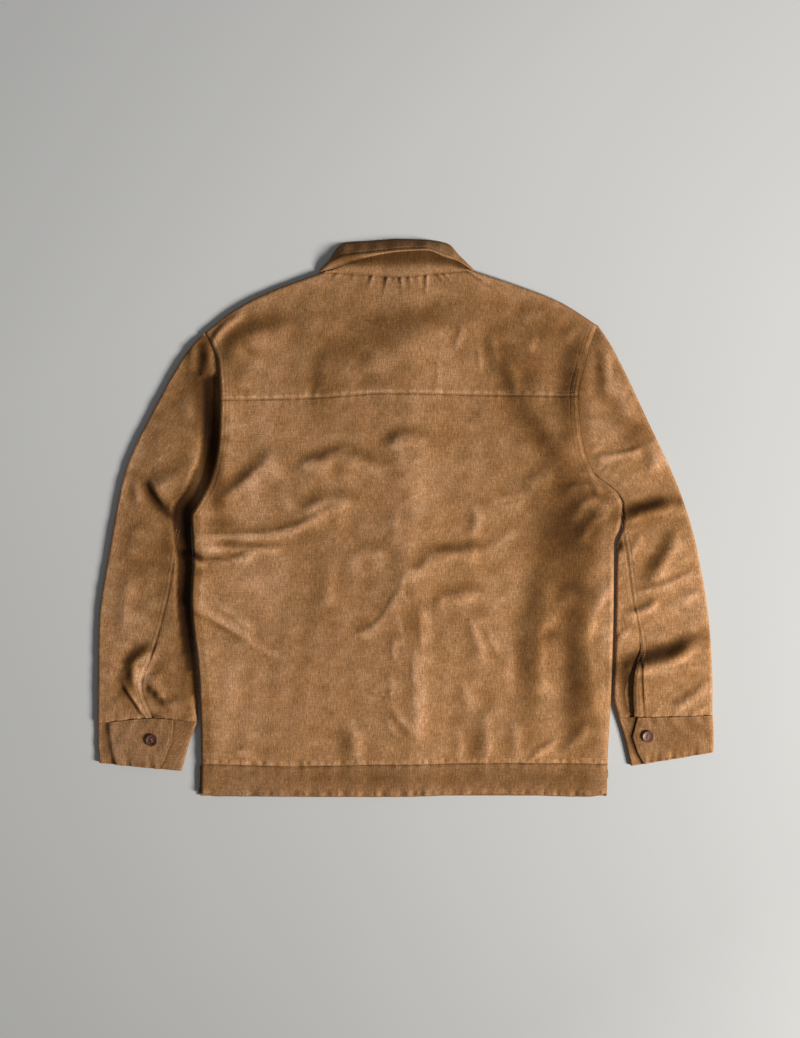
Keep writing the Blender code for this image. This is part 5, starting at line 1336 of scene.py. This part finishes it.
    def strip(self, places, on_top):
        return with_height(self.plan(places), self.top if on_top else self.bottom)


def sew_sleeve(sleeve):
    """The top sleeve, from the back seam over the outer outline, and the under sleeve."""
    widths, cut = sleeve.widths[:, None], sleeve.cut[:, None]
    over = cut + (1.0 - cut) * each_row((1.0 - cut) * widths, TOP_COLUMNS, PLACKET, TURN)
    round_outer = each_row((1.0 - FLOOR_SEAM) * widths, FLOOR_COLUMNS, (0.0,), TURN)
    below = FLOOR_SEAM + (1.0 - FLOOR_SEAM) * round_outer
    under_cut = cut - sleeve.seam.value("vent", sleeve.rows)[:, None] / widths
    under_top = under_cut * each_row(under_cut * widths, UNDER_COLUMNS, TURN, UNDER_SEAM)
    under_floor = FLOOR_SEAM * each_row(FLOOR_SEAM * widths, FLOOR_COLUMNS, TURN, (0.0,))
    outward = -1.0 if sleeve.side == "right" else 1.0
    pieces = (
        ("top", over, below[:, ::-1], outward),
        ("under", under_top[:, ::-1], under_floor, -outward),
    )
    start = sleeve.corner[-1]
    for name, top, floor, out in pieces:
        face = np.concatenate([sleeve.strip(top, True), sleeve.strip(floor, False)[:, 1:]], axis=1)
        across = np.concatenate([top[0], floor[0, 1:]])
        roll = sleeve.armhole.value("back_roll", start + across * (1.0 - start))
        gaps = {"first_row": SEAM_OPEN * (1.0 + roll)}
        yield wall(f"sleeve_{sleeve.side}_{name}", face, CLOTH, SUEDE, gaps=gaps, outward=out)


# Rows of topstitching as 3-D lines, filled in as the pieces are sewn
STITCH_LINES = []


def half_round(x, radius, start, turn, steps=10):
    """Points round a fold of a cuff, from one layer to the next."""
    angles = start + turn * np.linspace(0.0, math.pi, steps + 1)[1:-1]
    return [(x + radius * math.cos(a), radius + radius * math.sin(a)) for a in angles]


def sew_cuff(side, inner, outer, sleeve_end, tab):
    """A cuff as one strip: the button tab, over the top, round below, and the underlap."""
    inner, outer, sleeve_end = Line(inner), Line(outer), Line(sleeve_end)
    tab = np.array([row[1:] for row in tab], float)
    length = float(np.linalg.norm(outer.at(1.0) - outer.at(0.0)))
    rows, shades, step_out = [], [], CUFF_STEP_OUT[side]
    for share in stations(length, CUFF_ROWS, CUFF_EDGE, CUFF_EDGE):
        start, stop = inner.at(share), outer.at(share)
        width = float(np.linalg.norm(stop - start))
        end = float(np.interp(share, tab[:, 0], tab[:, 1]))
        over, under = CUFF_TOP / 2, CUFF_UNDERLAP_TOP / 2
        room = width - over - end
        across = end + room * stations(room, CUFF_COLUMNS, CUFF_EDGE, (0.0, 1.0, 2.0, 3.0, 4.5))
        high = CUFF_TOP + cuff_relief(side, share * length, length, across, end, width)
        turn_in = width - step_out * (1.0 + 0.7 * share) - CUFF_STEP
        step = (CUFF_TOP - CUFF_STEP_TOP) * (step_out > 0)
        high = high - step * smoothstep((across - turn_in) / CUFF_STEP)
        path = list(zip(across, high))
        radius = path[-1][1] / 2
        path += half_round(width - radius, radius, math.pi / 2, -1.0)
        path += [(x, 0.0) for x in np.linspace(width - radius, under, CUFF_FLOOR_COLUMNS)]
        path += half_round(under, under, -math.pi / 2, -1.0)
        path += [(x, CUFF_UNDERLAP_TOP) for x in np.linspace(under, CUFF_UNDERLAP, UNDERLAP_COLUMNS)]
        path = np.array(path)
        # Painted shadow of the tab on the underlap beside its end
        beside_tab = smoothstep((path[:, 0] - end + TAB_SHADE_REACH) / TAB_SHADE_REACH)
        on_underlap = np.arange(len(path)) >= len(path) - UNDERLAP_COLUMNS
        shades.append(CUFF_SHADE[side] * beside_tab * on_underlap)
        across = path[:, 0] / width
        plan = start + (stop - start) * across[:, None]
        plan += (1.0 - share) * bow(sleeve_end, sleeve_end.at(across), across)
        rows.append(np.concatenate([plan, path[:, 1:]], axis=1))
    outward = 1.0 if side == "left" else -1.0
    gaps = {"first_row": CUFF_SETBACK}
    face = np.array(rows)
    row, top = CUFF_EDGE.index(CUFF_STITCHES), len(CUFF_EDGE) + CUFF_COLUMNS
    STITCH_LINES.extend([face[row, row:top], face[-1 - row, row:top], face[row : -row, row]])
    shade = np.array(shades)
    yield wall(f"cuff_{side}", face, BAND_CLOTH, BANDS, gaps=gaps, outward=outward, shade=shade)


def cuff_relief(side, down, length, across, end, width):
    """What its stitches and its uneven lie do to a cuff's upper layer."""
    seed = 41 if side == "left" else 42
    nearest = np.minimum(np.minimum(down, length - down), np.abs(across - end))
    z = dimples(nearest, (CUFF_STITCHES,)) - 0.6 * bell(nearest)
    z = z + 0.9 * ripple(across + 0.4 * down, seed, 16) * bell((length - down) / 10.0)
    z = z + 0.45 * ripple(across, seed + 5, 15) * bell(down / 9.0)
    return z + 0.4 * unevenness(across, np.full(across.shape, down), seed, 34)


def sew_collar():
    """The stand and the leaf, each one strip round the neck from front to front."""
    table = np.array([row[1:] for row in COLLAR], float)
    lines = (smooth_points(table[:, 3 * i : 3 * i + 3], COLLAR_STEPS) for i in range(5))
    seam, stand, fold, crest, edge = lines
    run = np.concatenate([[0.0], np.linalg.norm(np.diff(fold, axis=0), axis=1).cumsum()])
    lies_high = smoothstep(crest[:, 2] / HIGH_CREST)
    on_back = (lies_high > 0.5) & beside_neck(seam[:, 0], -1.0)
    seam[:, 1] = np.where(on_back, NECK_LINE.y_at(seam[:, 0]), seam[:, 1])
    smooth = back_height(seam[:, 0], seam[:, 1]) - 0.8 * gathers(seam[:, 0], seam[:, 1])
    seam[:, 2] = np.where(on_back, smooth, seam[:, 2])
    v = stations(STAND_WIDTH, COLLAR_ROWS, (0.0, 0.5, 1.2, 2.2), (0.0, 1.0))[:, None]
    face = seam + (stand - seam) * v[..., None]
    swell = STAND_SWELL * bell((v - 0.2) / 0.17) * smoothstep(v / 0.08)
    swell = swell + 0.14 * ripple(run, 52, 9) * bell(v / 0.16) + 0.25 * ripple(run, 51, 40) * v
    face[..., 2] += swell * lies_high
    # Painted shade on the stand, darkest under the leaf's lip
    shade = STAND_SHADE * (0.15 + 0.85 * smoothstep((v - 0.22) / 0.36)) * lies_high
    gaps = {"first_row": -0.3, "last_row": 0.0}
    yield wall("collar_stand", face, COLLAR_CLOTH, SUEDE, gaps=gaps, shade=shade)

    v = stations(LEAF_WIDTH, COLLAR_ROWS, (0.0, 1.0, 2.0), (0.0, 0.7, 1.5, 2.5, 3.5, 4.5))[:, None]
    slope = fold + (crest - fold) * v[..., None]
    out = unit(np.cross(crest - fold, np.gradient(fold, axis=0)))
    wave = 0.7 * ripple(run, 53, 44) * v * (1.0 - v) * 4.0 - LIP_GROOVE * bell((v - 0.84) / 0.04)
    bulge = (LEAF_BULGE * 4.0 * v * (1.0 - v) + wave) * lies_high
    slope = slope + out * bulge[..., None]
    high = lies_high[:, None]
    under = fold + 0.4 * high * (stand - fold) - 0.6 * (1.0 - high) * unit(crest - fold)
    under[:, 2] = 0.05 * lies_high
    u = np.array(LIP_ROWS)[:, None]
    lip = crest + (edge - crest) * u[..., None]
    lip[..., 2] += 0.9 * np.sin(math.pi * u) * lies_high - 1.2 * (u**3) * lies_high
    face = np.concatenate([under[None], slope, lip])
    # Painted shade on the leaf, and on its lip the painted tone of LIP_LIGHT
    shade = np.concatenate([[[1.0]], np.ones_like(v), 1.0 - smoothstep(u / 0.5)]) * LEAF_SHADE
    shade = shade + np.concatenate([[[0.0]], 0.0 * v, smoothstep(u / 0.5)]) * LIP_LIGHT
    gaps = {"first_row": 0.0}
    yield wall("collar_leaf", face, COLLAR_CLOTH, SUEDE, gaps=gaps, outward=-1.0, shade=shade)


# ---------------------------------------------------------------- materials
class Value:
    """A socket's value that can be used in Python arithmetic."""

    def __init__(self, graph, socket):
        self.graph, self.socket = graph, socket

    def math(self, operation, *others):
        return self.graph.node("ShaderNodeMath", {"operation": operation}, self, *others)

    def __add__(self, other):
        return self.math("ADD", other)

    def __sub__(self, other):
        return self.math("SUBTRACT", other)

    def __mul__(self, other):
        return self.math("MULTIPLY", other)

    def __rsub__(self, other):
        return self.graph.node("ShaderNodeMath", {"operation": "SUBTRACT"}, other, self)

    __radd__, __rmul__ = __add__, __mul__

    def clamp(self):
        return self.graph.node("ShaderNodeClamp", {}, self, 0.0, 1.0)


class Graph:
    """A material's node tree."""

    def __init__(self, name):
        self.material = bpy.data.materials.new(name)
        self.material.use_nodes = True
        self.tree = self.material.node_tree
        self.shader = self.tree.nodes["Principled BSDF"]

    def put(self, socket, value):
        if isinstance(value, Value):
            self.tree.links.new(value.socket, socket)
        elif value is not None:
            socket.default_value = value

    def node(self, kind, settings=None, *values, output=0, **named):
        made = self.tree.nodes.new(kind)
        for key, setting in (settings or {}).items():
            setattr(made, key, setting)
        for socket, value in zip(made.inputs, values):
            self.put(socket, value)
        for key, value in named.items():
            self.put(made.inputs[key.replace("_", " ")], value)
        return Value(self, made.outputs[output])

    def mix(self, factor, first, second, blend="MIX"):
        settings = {"data_type": "RGBA", "blend_type": blend}
        made = self.node("ShaderNodeMix", settings, output=2)
        sockets = made.socket.node.inputs
        for socket, value in zip((sockets[0], sockets[6], sockets[7]), (factor, first, second)):
            self.put(socket, value)
        return made

    def noise(self, vector, scale, detail=3.0, roughness=0.55):
        values = {"Vector": vector, "Scale": scale, "Detail": detail, "Roughness": roughness}
        return self.node("ShaderNodeTexNoise", {}, **values)

    def stretched(self, vector, across, along, turn=0.0):
        scale = (across, along, 1.0)
        return self.node("ShaderNodeMapping", {}, Vector=vector, Scale=scale, Rotation=(0, 0, turn))

    def place(self):
        """Where a point is on its object."""
        return self.node("ShaderNodeTexCoord", {}, output=3)

    def set(self, **values):
        for key, value in values.items():
            self.put(self.shader.inputs[key.replace("_", " ")], value)


# The grain of the cloth in its cut: how much it's squeezed across and along, scale, detail,
# roughness, and its weight in the tone
GRAIN = {
    "brushed": (1.0, 0.3, 60.0, 3.0, 0.6, 0.09),
    "streak": (1.0, 0.06, 240.0, 2.0, 0.6, 0.22),
    "slubs": (1.0, 0.16, 640.0, 2.0, 0.7, 1.05),
    "weft": (0.12, 1.0, 520.0, 2.0, 0.6, 0.40),
}
CLOUDS = 0.16  # weight of the large soft mottling
SPECKLE = 0.95
WARMER = (1.03, 0.90, 0.70, 1)
SHEEN = (1.0, 0.78, 0.55, 1.0)


def suede(name, dark, middle, light):
    """Brushed cloth: it is softly mottled, a fine thread runs down it, and an attribute paints shade and
    highlight on it.

    dark, middle and light are the colours of its thread, from its hollows to its fuzz.
    """
    graph = Graph(name)
    cut = graph.node("ShaderNodeUVMap", {"uv_map": "cut"})
    place = graph.place()
    shade_and_nap = graph.node("ShaderNodeAttribute", {"attribute_name": "shade_and_nap"}, output=2)
    tone = 0.5 + (graph.noise(place, 11.0, 3.0, 0.5) - 0.5) * CLOUDS
    grain = {}
    for layer, (across, along, scale, detail, roughness, weight) in GRAIN.items():
        grain[layer] = graph.noise(graph.stretched(cut, across, along), scale, detail, roughness)
        tone = tone + (grain[layer] - 0.5) * weight
    speckle = graph.noise(place, 900.0, 1.0, 0.5)
    tone = (tone + (speckle - 0.5) * SPECKLE).clamp()
    low = graph.mix((tone * 2.0).clamp(), dark, middle)
    colour = graph.mix((tone * 2.0 - 1.0).clamp(), low, light)
    warmth = graph.noise(place, 26.0, 3.0, 0.6)
    warmer = graph.mix(1.0, colour, WARMER, "MULTIPLY")
    colour = graph.mix(((warmth - 0.35) * 1.6).clamp(), colour, warmer)
    # The painted shade and highlight from the attribute multiply the colour
    painted_shade = [graph.node("ShaderNodeMath", {"operation": "EXPONENT"}, shade_and_nap * pull) for pull in SHADE_PULL]
    painted_shade = graph.node("ShaderNodeCombineColor", {}, *painted_shade)
    colour = graph.mix(1.0, colour, painted_shade, "MULTIPLY")
    height = grain["slubs"] * 0.6 + grain["weft"] * 0.4 + speckle * 0.4
    bump = graph.node("ShaderNodeBump", {}, Strength=0.5, Distance=0.0006, Height=height)
    graph.set(
        Base_Color=colour,
        Roughness=0.93 - (grain["slubs"] - 0.5) * 0.12,
        Specular_IOR_Level=0.16,
        Sheen_Weight=0.06,
        Sheen_Roughness=0.55,
        Sheen_Tint=SHEEN,
        Normal=bump,
    )
    return graph.material


def horn(name, dark, light):
    """A button's brown horn, faintly streaked."""
    graph = Graph(name)
    place = graph.place()
    streak = graph.noise(graph.stretched(place, 1.0, 0.35, 0.6), 420.0, 3.0, 0.6)
    graph.set(
        Base_Color=graph.mix(((streak - 0.32) * 2.6).clamp(), dark, light),
        Roughness=0.46 + (streak - 0.5) * 0.16,
        IOR=1.5,
    )
    return graph.material


def thread_colour(name, dark, light):
    graph = Graph(name)
    shade = graph.noise(graph.place(), 160.0, 2.0, 0.6)
    graph.set(Base_Color=graph.mix(shade, dark, light), Roughness=0.8, Specular_IOR_Level=0.25)
    return graph.material


def floor_finish(name, dark, light):
    """A plain pale floor, a little darker towards the window, which evens out its light."""
    graph = Graph(name)
    place = graph.place()
    parts = graph.node("ShaderNodeSeparateXYZ", {}, place).socket.node.outputs
    slope = Value(graph, parts[0]) * -0.45 + Value(graph, parts[1]) * 0.75
    tone = (slope + 0.56 + graph.noise(place, 2.2, 3.0, 0.5) * 0.12).clamp()
    graph.set(Base_Color=graph.mix(tone, dark, light), Roughness=0.85, Specular_IOR_Level=0.2)
    return graph.material


SUEDE = suede("suede cloth", (0.110, 0.046, 0.013, 1), (0.285, 0.142, 0.058, 1), (0.520, 0.305, 0.155, 1))
BANDS = suede("band cloth", (0.085, 0.036, 0.011, 1), (0.222, 0.108, 0.043, 1), (0.410, 0.235, 0.116, 1))
HORN_DARK = horn("dark horn", (0.040, 0.012, 0.007, 1), (0.105, 0.034, 0.018, 1))
HORN_PALE = horn("brown horn", (0.070, 0.022, 0.011, 1), (0.165, 0.060, 0.030, 1))
THREAD = thread_colour("sewing thread", (0.150, 0.072, 0.030, 1), (0.450, 0.255, 0.125, 1))


# ---------------------------------------------------------------- the cloth
SLEEVES = {
    "left": Sleeve("left", LEFT_INNER, LEFT_OUTER, LEFT_SLEEVE_END, LEFT_SLEEVE_SEAM, LEFT_SLEEVE_CREASES),
    "right": Sleeve(
        "right", RIGHT_INNER, RIGHT_OUTER, RIGHT_SLEEVE_END, RIGHT_SLEEVE_SEAM, RIGHT_SLEEVE_CREASES
    ),
}


def sew():
    """Every piece of cloth."""
    yield from sew_back()
    yield from sew_front("left", front_face, FRONT_NECK_LEFT, CLOSURE_X + CLOSURE_HALF)
    yield from sew_front("right", underlap_face, FRONT_NECK_RIGHT, CLOSURE_X - CLOSURE_HALF)
    for sleeve in SLEEVES.values():
        yield from sew_sleeve(sleeve)
    yield from sew_cuff("left", LEFT_CUFF_INNER, LEFT_CUFF_OUTER, LEFT_SLEEVE_END, LEFT_TAB)
    yield from sew_cuff("right", RIGHT_CUFF_INNER, RIGHT_CUFF_OUTER, RIGHT_SLEEVE_END, RIGHT_TAB)
    yield from sew_collar()


cloth = {obj.name.replace("-", "_"): obj for obj in sew()}

BAND_PIECES = ("hem_band_back", "hem_band_front_left", "hem_band_front_right", "cuff_left", "cuff_right")


for name, obj in cloth.items():
    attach(obj, "root")
    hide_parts(name)
    "suede_bands" if name in BAND_PIECES else "suede_cloth"


# ---------------------------------------------------------------- topstitching
PITCH = 3.4  # from stitch to stitch
STITCH = (1.35, 0.42, 0.30)  # half a stitch's length, width and height
STITCH_LIFT = 0.12  # of its middle over the cloth
STITCHED_FROM = {"left": 0.19, "right": 0.12}  # share of a sleeve's back seam where its rows start


def on_cloth(line, height, lift=STITCH_LIFT):
    """The line laid on the face that height() gives."""
    z = height(line[:, 0], line[:, 1]) + lift
    return np.concatenate([line, z[:, None]], axis=1)


def stitch_rows():
    ends = (0.008, 0.992)
    for away in YOKE_ROWS_OF_STITCHES:
        yield on_cloth(YOKE_LINE.beside(away, *ends), back_height)
    yield on_cloth(EDGE_LINE.beside(HEM_STITCHES, *ends), back_height)
    yield on_cloth(HEM_LINE.beside(-YOKE_ROWS_OF_STITCHES[0], *ends), back_height)
    for away in ARMHOLE_STITCHES:
        for side, sign in (("left", -1), ("right", 1)):
            line = BODY_EDGES[f"armhole_{side}"].beside(sign * away, 0.05, 0.985)
            yield on_cloth(line, back_height)
    for side, sleeve in SLEEVES.items():
        for away in SLEEVE_STITCHES:
            line = sleeve.seam.beside(away if side == "right" else -away, STITCHED_FROM[side], 0.99)
            yield on_cloth(line, sleeve.top)
    for line in STITCH_LINES:
        yield line + (0.0, 0.0, STITCH_LIFT)


def stitch_tree():
    """Stitches along curves: one small ball for each, stretched along the row."""
    tree = bpy.data.node_groups.new("stitches", "GeometryNodeTree")
    sockets = {"Geometry": "Geometry", "Pitch": "Float", "Size": "Vector", "Material": "Material"}
    for name, kind in sockets.items():
        tree.interface.new_socket(name, in_out="INPUT", socket_type=f"NodeSocket{kind}")
    tree.interface.new_socket("Geometry", in_out="OUTPUT", socket_type="NodeSocketGeometry")

    def add(kind, values=None, **settings):
        node = tree.nodes.new(kind)
        for key, value in settings.items():
            setattr(node, key, value)
        for socket, value in (values or {}).items():
            node.inputs[socket].default_value = value
        return node

    given, made = add("NodeGroupInput"), add("NodeGroupOutput")
    curve = add("GeometryNodeMeshToCurve")
    points = add("GeometryNodeCurveToPoints", mode="LENGTH")
    ball = add("GeometryNodeMeshUVSphere", {"Segments": 6, "Rings": 4, "Radius": 1.0})
    stretch = add("GeometryNodeTransform")
    along = add("FunctionNodeAlignRotationToVector", axis="X")
    put = add("GeometryNodeInstanceOnPoints")
    size = add("FunctionNodeRandomValue", {2: 0.78, 3: 1.08, "Seed": 4}, data_type="FLOAT")
    real = add("GeometryNodeRealizeInstances")
    finish = add("GeometryNodeSetMaterial")
    for start, output, stop, entry in (
        (given, "Geometry", curve, 0),
        (curve, 0, points, 0),
        (given, "Pitch", points, "Length"),
        (ball, "Mesh", stretch, "Geometry"),
        (given, "Size", stretch, "Scale"),
        (points, "Tangent", along, "Vector"),
        (points, "Points", put, "Points"),
        (stretch, 0, put, "Instance"),
        (along, 0, put, "Rotation"),
        (size, 1, put, "Scale"),
        (put, 0, real, 0),
        (real, 0, finish, 0),
        (given, "Material", finish, "Material"),
        (finish, 0, made, 0),
    ):
        tree.links.new(start.outputs[output], stop.inputs[entry])
    return tree


def evaluated(obj):
    graph = bpy.context.evaluated_depsgraph_get()
    return bpy.data.meshes.new_from_object(obj.evaluated_get(graph))


def made_by(tree, obj, **values):
    """The mesh that a node tree makes of an object."""
    modifier = obj.modifiers.new(tree.name, "NODES")
    modifier.node_group = tree
    for item in tree.interface.items_tree:
        if item.in_out == "INPUT" and item.name in values:
            modifier[item.identifier] = values[item.name]
    mesh = evaluated(obj)
    obj.modifiers.remove(modifier)
    return mesh


def sew_stitches():
    points, edges = [], []
    for row in stitch_rows():
        start = len(points)
        points += (row * MM).tolist()
        edges += [(i, i + 1) for i in range(start, start + len(row) - 1)]
    rows = linked("stitch rows", new_mesh("stitch rows", points, [], edges))
    size = [half * MM for half in STITCH]
    mesh = made_by(stitch_tree(), rows, Pitch=PITCH * MM, Size=size, Material=THREAD)
    bpy.data.objects.remove(rows)
    stitches = finished("topstitching", mesh, THREAD)
    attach(stitches, "root")


sew_stitches()


# ---------------------------------------------------------------- buttons
BUTTON_SIDES = 48
LEFT_TURN = 20  # how far each button is turned about its axis, in degrees
RIGHT_TURN = -15
FRONT_TURN = 12  # from one to the next
# Radius and height of its rings, from the cloth over the rim into the dish
BUTTON_SECTION = ((7.0, 0.0), (8.0, 0.35), (8.5, 1.0), (8.5, 1.7), (8.2, 2.3))
BUTTON_SECTION += ((7.6, 2.6), (6.9, 2.5), (6.3, 2.1), (5.4, 1.75), (2.8, 1.6))
HOLE_RADIUS = 0.85
HOLE_SIDES = 16
HOLE_AWAY = 1.5
HOLES = [(HOLE_AWAY * dx, HOLE_AWAY * dy) for dx in (-1, 1) for dy in (-1, 1)]
THREAD_RADIUS = 0.36
THREAD_SIDES = 8
THREAD_PATH = ((0.0, 0.7), (0.0, 1.5), (0.4, 2.0))  # up out of a hole: towards the middle, height
THREAD_TOP = 2.1
THREAD_SHIFT = 0.28  # of each of the two threads in a bar


def skin(rings, sides):
    """The faces of a closed body that is built up of rings."""
    faces = [tuple(range(sides - 1, -1, -1)), tuple(range((rings - 1) * sides, rings * sides))]
    for i in range(rings - 1):
        low, high = i * sides, (i + 1) * sides
        for k in range(sides):
            m = (k + 1) % sides
            faces.append((low + k, low + m, high + m, high + k))
    return faces


def angles_round(sides):
    return np.linspace(0.0, 2.0 * math.pi, sides, endpoint=False)


def ring(radius, z, sides, x=0.0, y=0.0):
    return [(x + radius * math.cos(a), y + radius * math.sin(a), z) for a in angles_round(sides)]


def button_mesh():
    """A round button with a raised rim, a shallow dish and four holes."""
    points = [point for radius, z in BUTTON_SECTION for point in ring(radius, z, BUTTON_SIDES)]
    body = linked("disc", new_mesh("disc", points, skin(len(BUTTON_SECTION), BUTTON_SIDES)))
    drills, faces = [], []
    for dx, dy in HOLES:
        faces += [tuple(len(drills) + i for i in face) for face in skin(2, HOLE_SIDES)]
        for z in (-1.0, BUTTON_THICK + 1.0):
            drills += ring(HOLE_RADIUS, z, HOLE_SIDES, dx, dy)
    cutter = linked("drills", new_mesh("drills", drills, faces))
    cut = body.modifiers.new("holes", "BOOLEAN")
    cut.operation, cut.object, cut.solver = "DIFFERENCE", cutter, "EXACT"
    mesh = evaluated(body)
    for obj in (body, cutter):
        bpy.data.objects.remove(obj)
    return mesh


def tube(path, radius):
    """A closed round thread through the path's points."""
    path = np.array(path, float)
    way = unit(np.gradient(path, axis=0))
    side = unit(np.cross(way, (0.3, 0.1, 1.0)))[:, None]
    up = np.cross(way, side[:, 0])[:, None]
    angles = angles_round(THREAD_SIDES)[None, :, None]
    rings = path[:, None] + radius * (np.cos(angles) * side + np.sin(angles) * up)
    return rings.reshape(-1, 3), skin(len(path), THREAD_SIDES)


def place_button(points, centre, base, turn, flipped):
    """Points of a button at its place, turned about its axis, in metres."""
    a = math.radians(turn)
    x = points[:, 0] * math.cos(a) - points[:, 1] * math.sin(a)
    y = points[:, 0] * math.sin(a) + points[:, 1] * math.cos(a)
    z = BUTTON_THICK - points[:, 2] if flipped else points[:, 2]
    return np.stack([x + centre[0], y + centre[1], z + base], axis=-1) * MM


def lay_button(name, mesh, finish, *place, flipped=False):
    """A button and its thread at a place: centre, height of its base, and turn about its axis."""
    mesh = mesh.copy()
    points = np.empty(len(mesh.vertices) * 3)
    mesh.vertices.foreach_get("co", points)
    points = place_button(points.reshape(-1, 3), *place, flipped)
    mesh.vertices.foreach_set("co", points.ravel())
    if flipped:
        mesh.flip_normals()
    obj = finished(name, mesh, finish)
    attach(obj, "root")
    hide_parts(name)

    bars, faces = [], []
    for dy in (-HOLE_AWAY, HOLE_AWAY):
        path = [(x - HOLE_AWAY, dy, z) for x, z in THREAD_PATH]
        path += [(0.0, dy, THREAD_TOP)] + [(-x, y, z) for x, y, z in path[::-1]]
        for shift in (-THREAD_SHIFT, THREAD_SHIFT):
            bar, sides = tube(np.array(path) + (0.0, shift, 0.0), THREAD_RADIUS)
            faces += [tuple(i + len(bars) for i in face) for face in sides]
            bars += bar.tolist()
    points = place_button(np.array(bars), *place, flipped).tolist()
    faces = [face[::-1] for face in faces] if flipped else faces
    obj = finished(f"{name}_thread", new_mesh(f"{name}_thread", points, faces), THREAD)
    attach(obj, "root")


def lay_buttons():
    mesh = button_mesh()
    base = CUFF_TOP + SEAM_GAP
    lay_button("cuff_button_left", mesh, HORN_DARK, CUFF_BUTTON_LEFT, base, LEFT_TURN)
    lay_button("cuff_button_right", mesh, HORN_PALE, CUFF_BUTTON_RIGHT, base, RIGHT_TURN)
    heights = [*np.linspace(FRONT_BUTTON_TOP, FRONT_BUTTON_BOTTOM, FRONT_BUTTONS), HEM_BUTTON_Y]
    for number, y in enumerate(heights, start=1):
        place = (CLOSURE_X, float(y)), 0.0, FRONT_TURN * number
        lay_button(f"front_button_{number}", mesh, HORN_DARK, *place, flipped=True)


lay_buttons()


# ---------------------------------------------------------------- floor, light and camera
FLOOR_HALF = 3.0
FLOOR_Z = -0.0003
FLOOR_COLOURS = ((0.37, 0.37, 0.362, 1), (0.585, 0.585, 0.575, 1))
WINDOW_PLACE = (2.35, -1.1, 1.6)
WINDOW_POWER = 170.0
WINDOW_COLOUR = (1.0, 0.98, 0.95)
STUDIO_COLOUR = (0.93, 0.96, 1.0, 1.0)
STUDIO_STRENGTH = 0.17


def stage_floor():
    corners = [(x * FLOOR_HALF, y * FLOOR_HALF, FLOOR_Z) for x, y in ((-1, -1), (1, -1), (1, 1), (-1, 1))]
    floor = linked("floor", new_mesh("floor", corners, [(0, 1, 2, 3)]))
    floor.data.materials.append(floor_finish("pale floor", *FLOOR_COLOURS))


def light_scene():
    window = bpy.data.lights.new("window", "AREA")
    window.shape, window.size, window.energy, window.color = "DISK", 1.0, WINDOW_POWER, WINDOW_COLOUR
    obj = linked("window", window)
    obj.location = WINDOW_PLACE
    obj.rotation_euler = (-Vector(WINDOW_PLACE)).to_track_quat("-Z", "Y").to_euler()
    world = bpy.data.worlds.new("studio")
    bpy.context.scene.world = world
    world.use_nodes = True
    back = world.node_tree.nodes["Background"]
    back.inputs["Color"].default_value = STUDIO_COLOUR
    back.inputs["Strength"].default_value = STUDIO_STRENGTH


FRAME_WIDTH = 1.12
CAMERA_OVER = (-0.0077, -0.0021)
CAMERA_HEIGHT = 1.6
SENSOR = 36.0


def hang_camera():
    camera = bpy.data.cameras.new("camera")
    camera.sensor_fit, camera.sensor_width = "HORIZONTAL", SENSOR
    camera.lens = SENSOR * CAMERA_HEIGHT / FRAME_WIDTH
    bpy.context.scene.camera = linked("camera", camera)
    bpy.context.scene.camera.location = (*CAMERA_OVER, CAMERA_HEIGHT)


stage_floor()
light_scene()
hang_camera()
bpy.context.scene.view_settings.view_transform = "Standard"
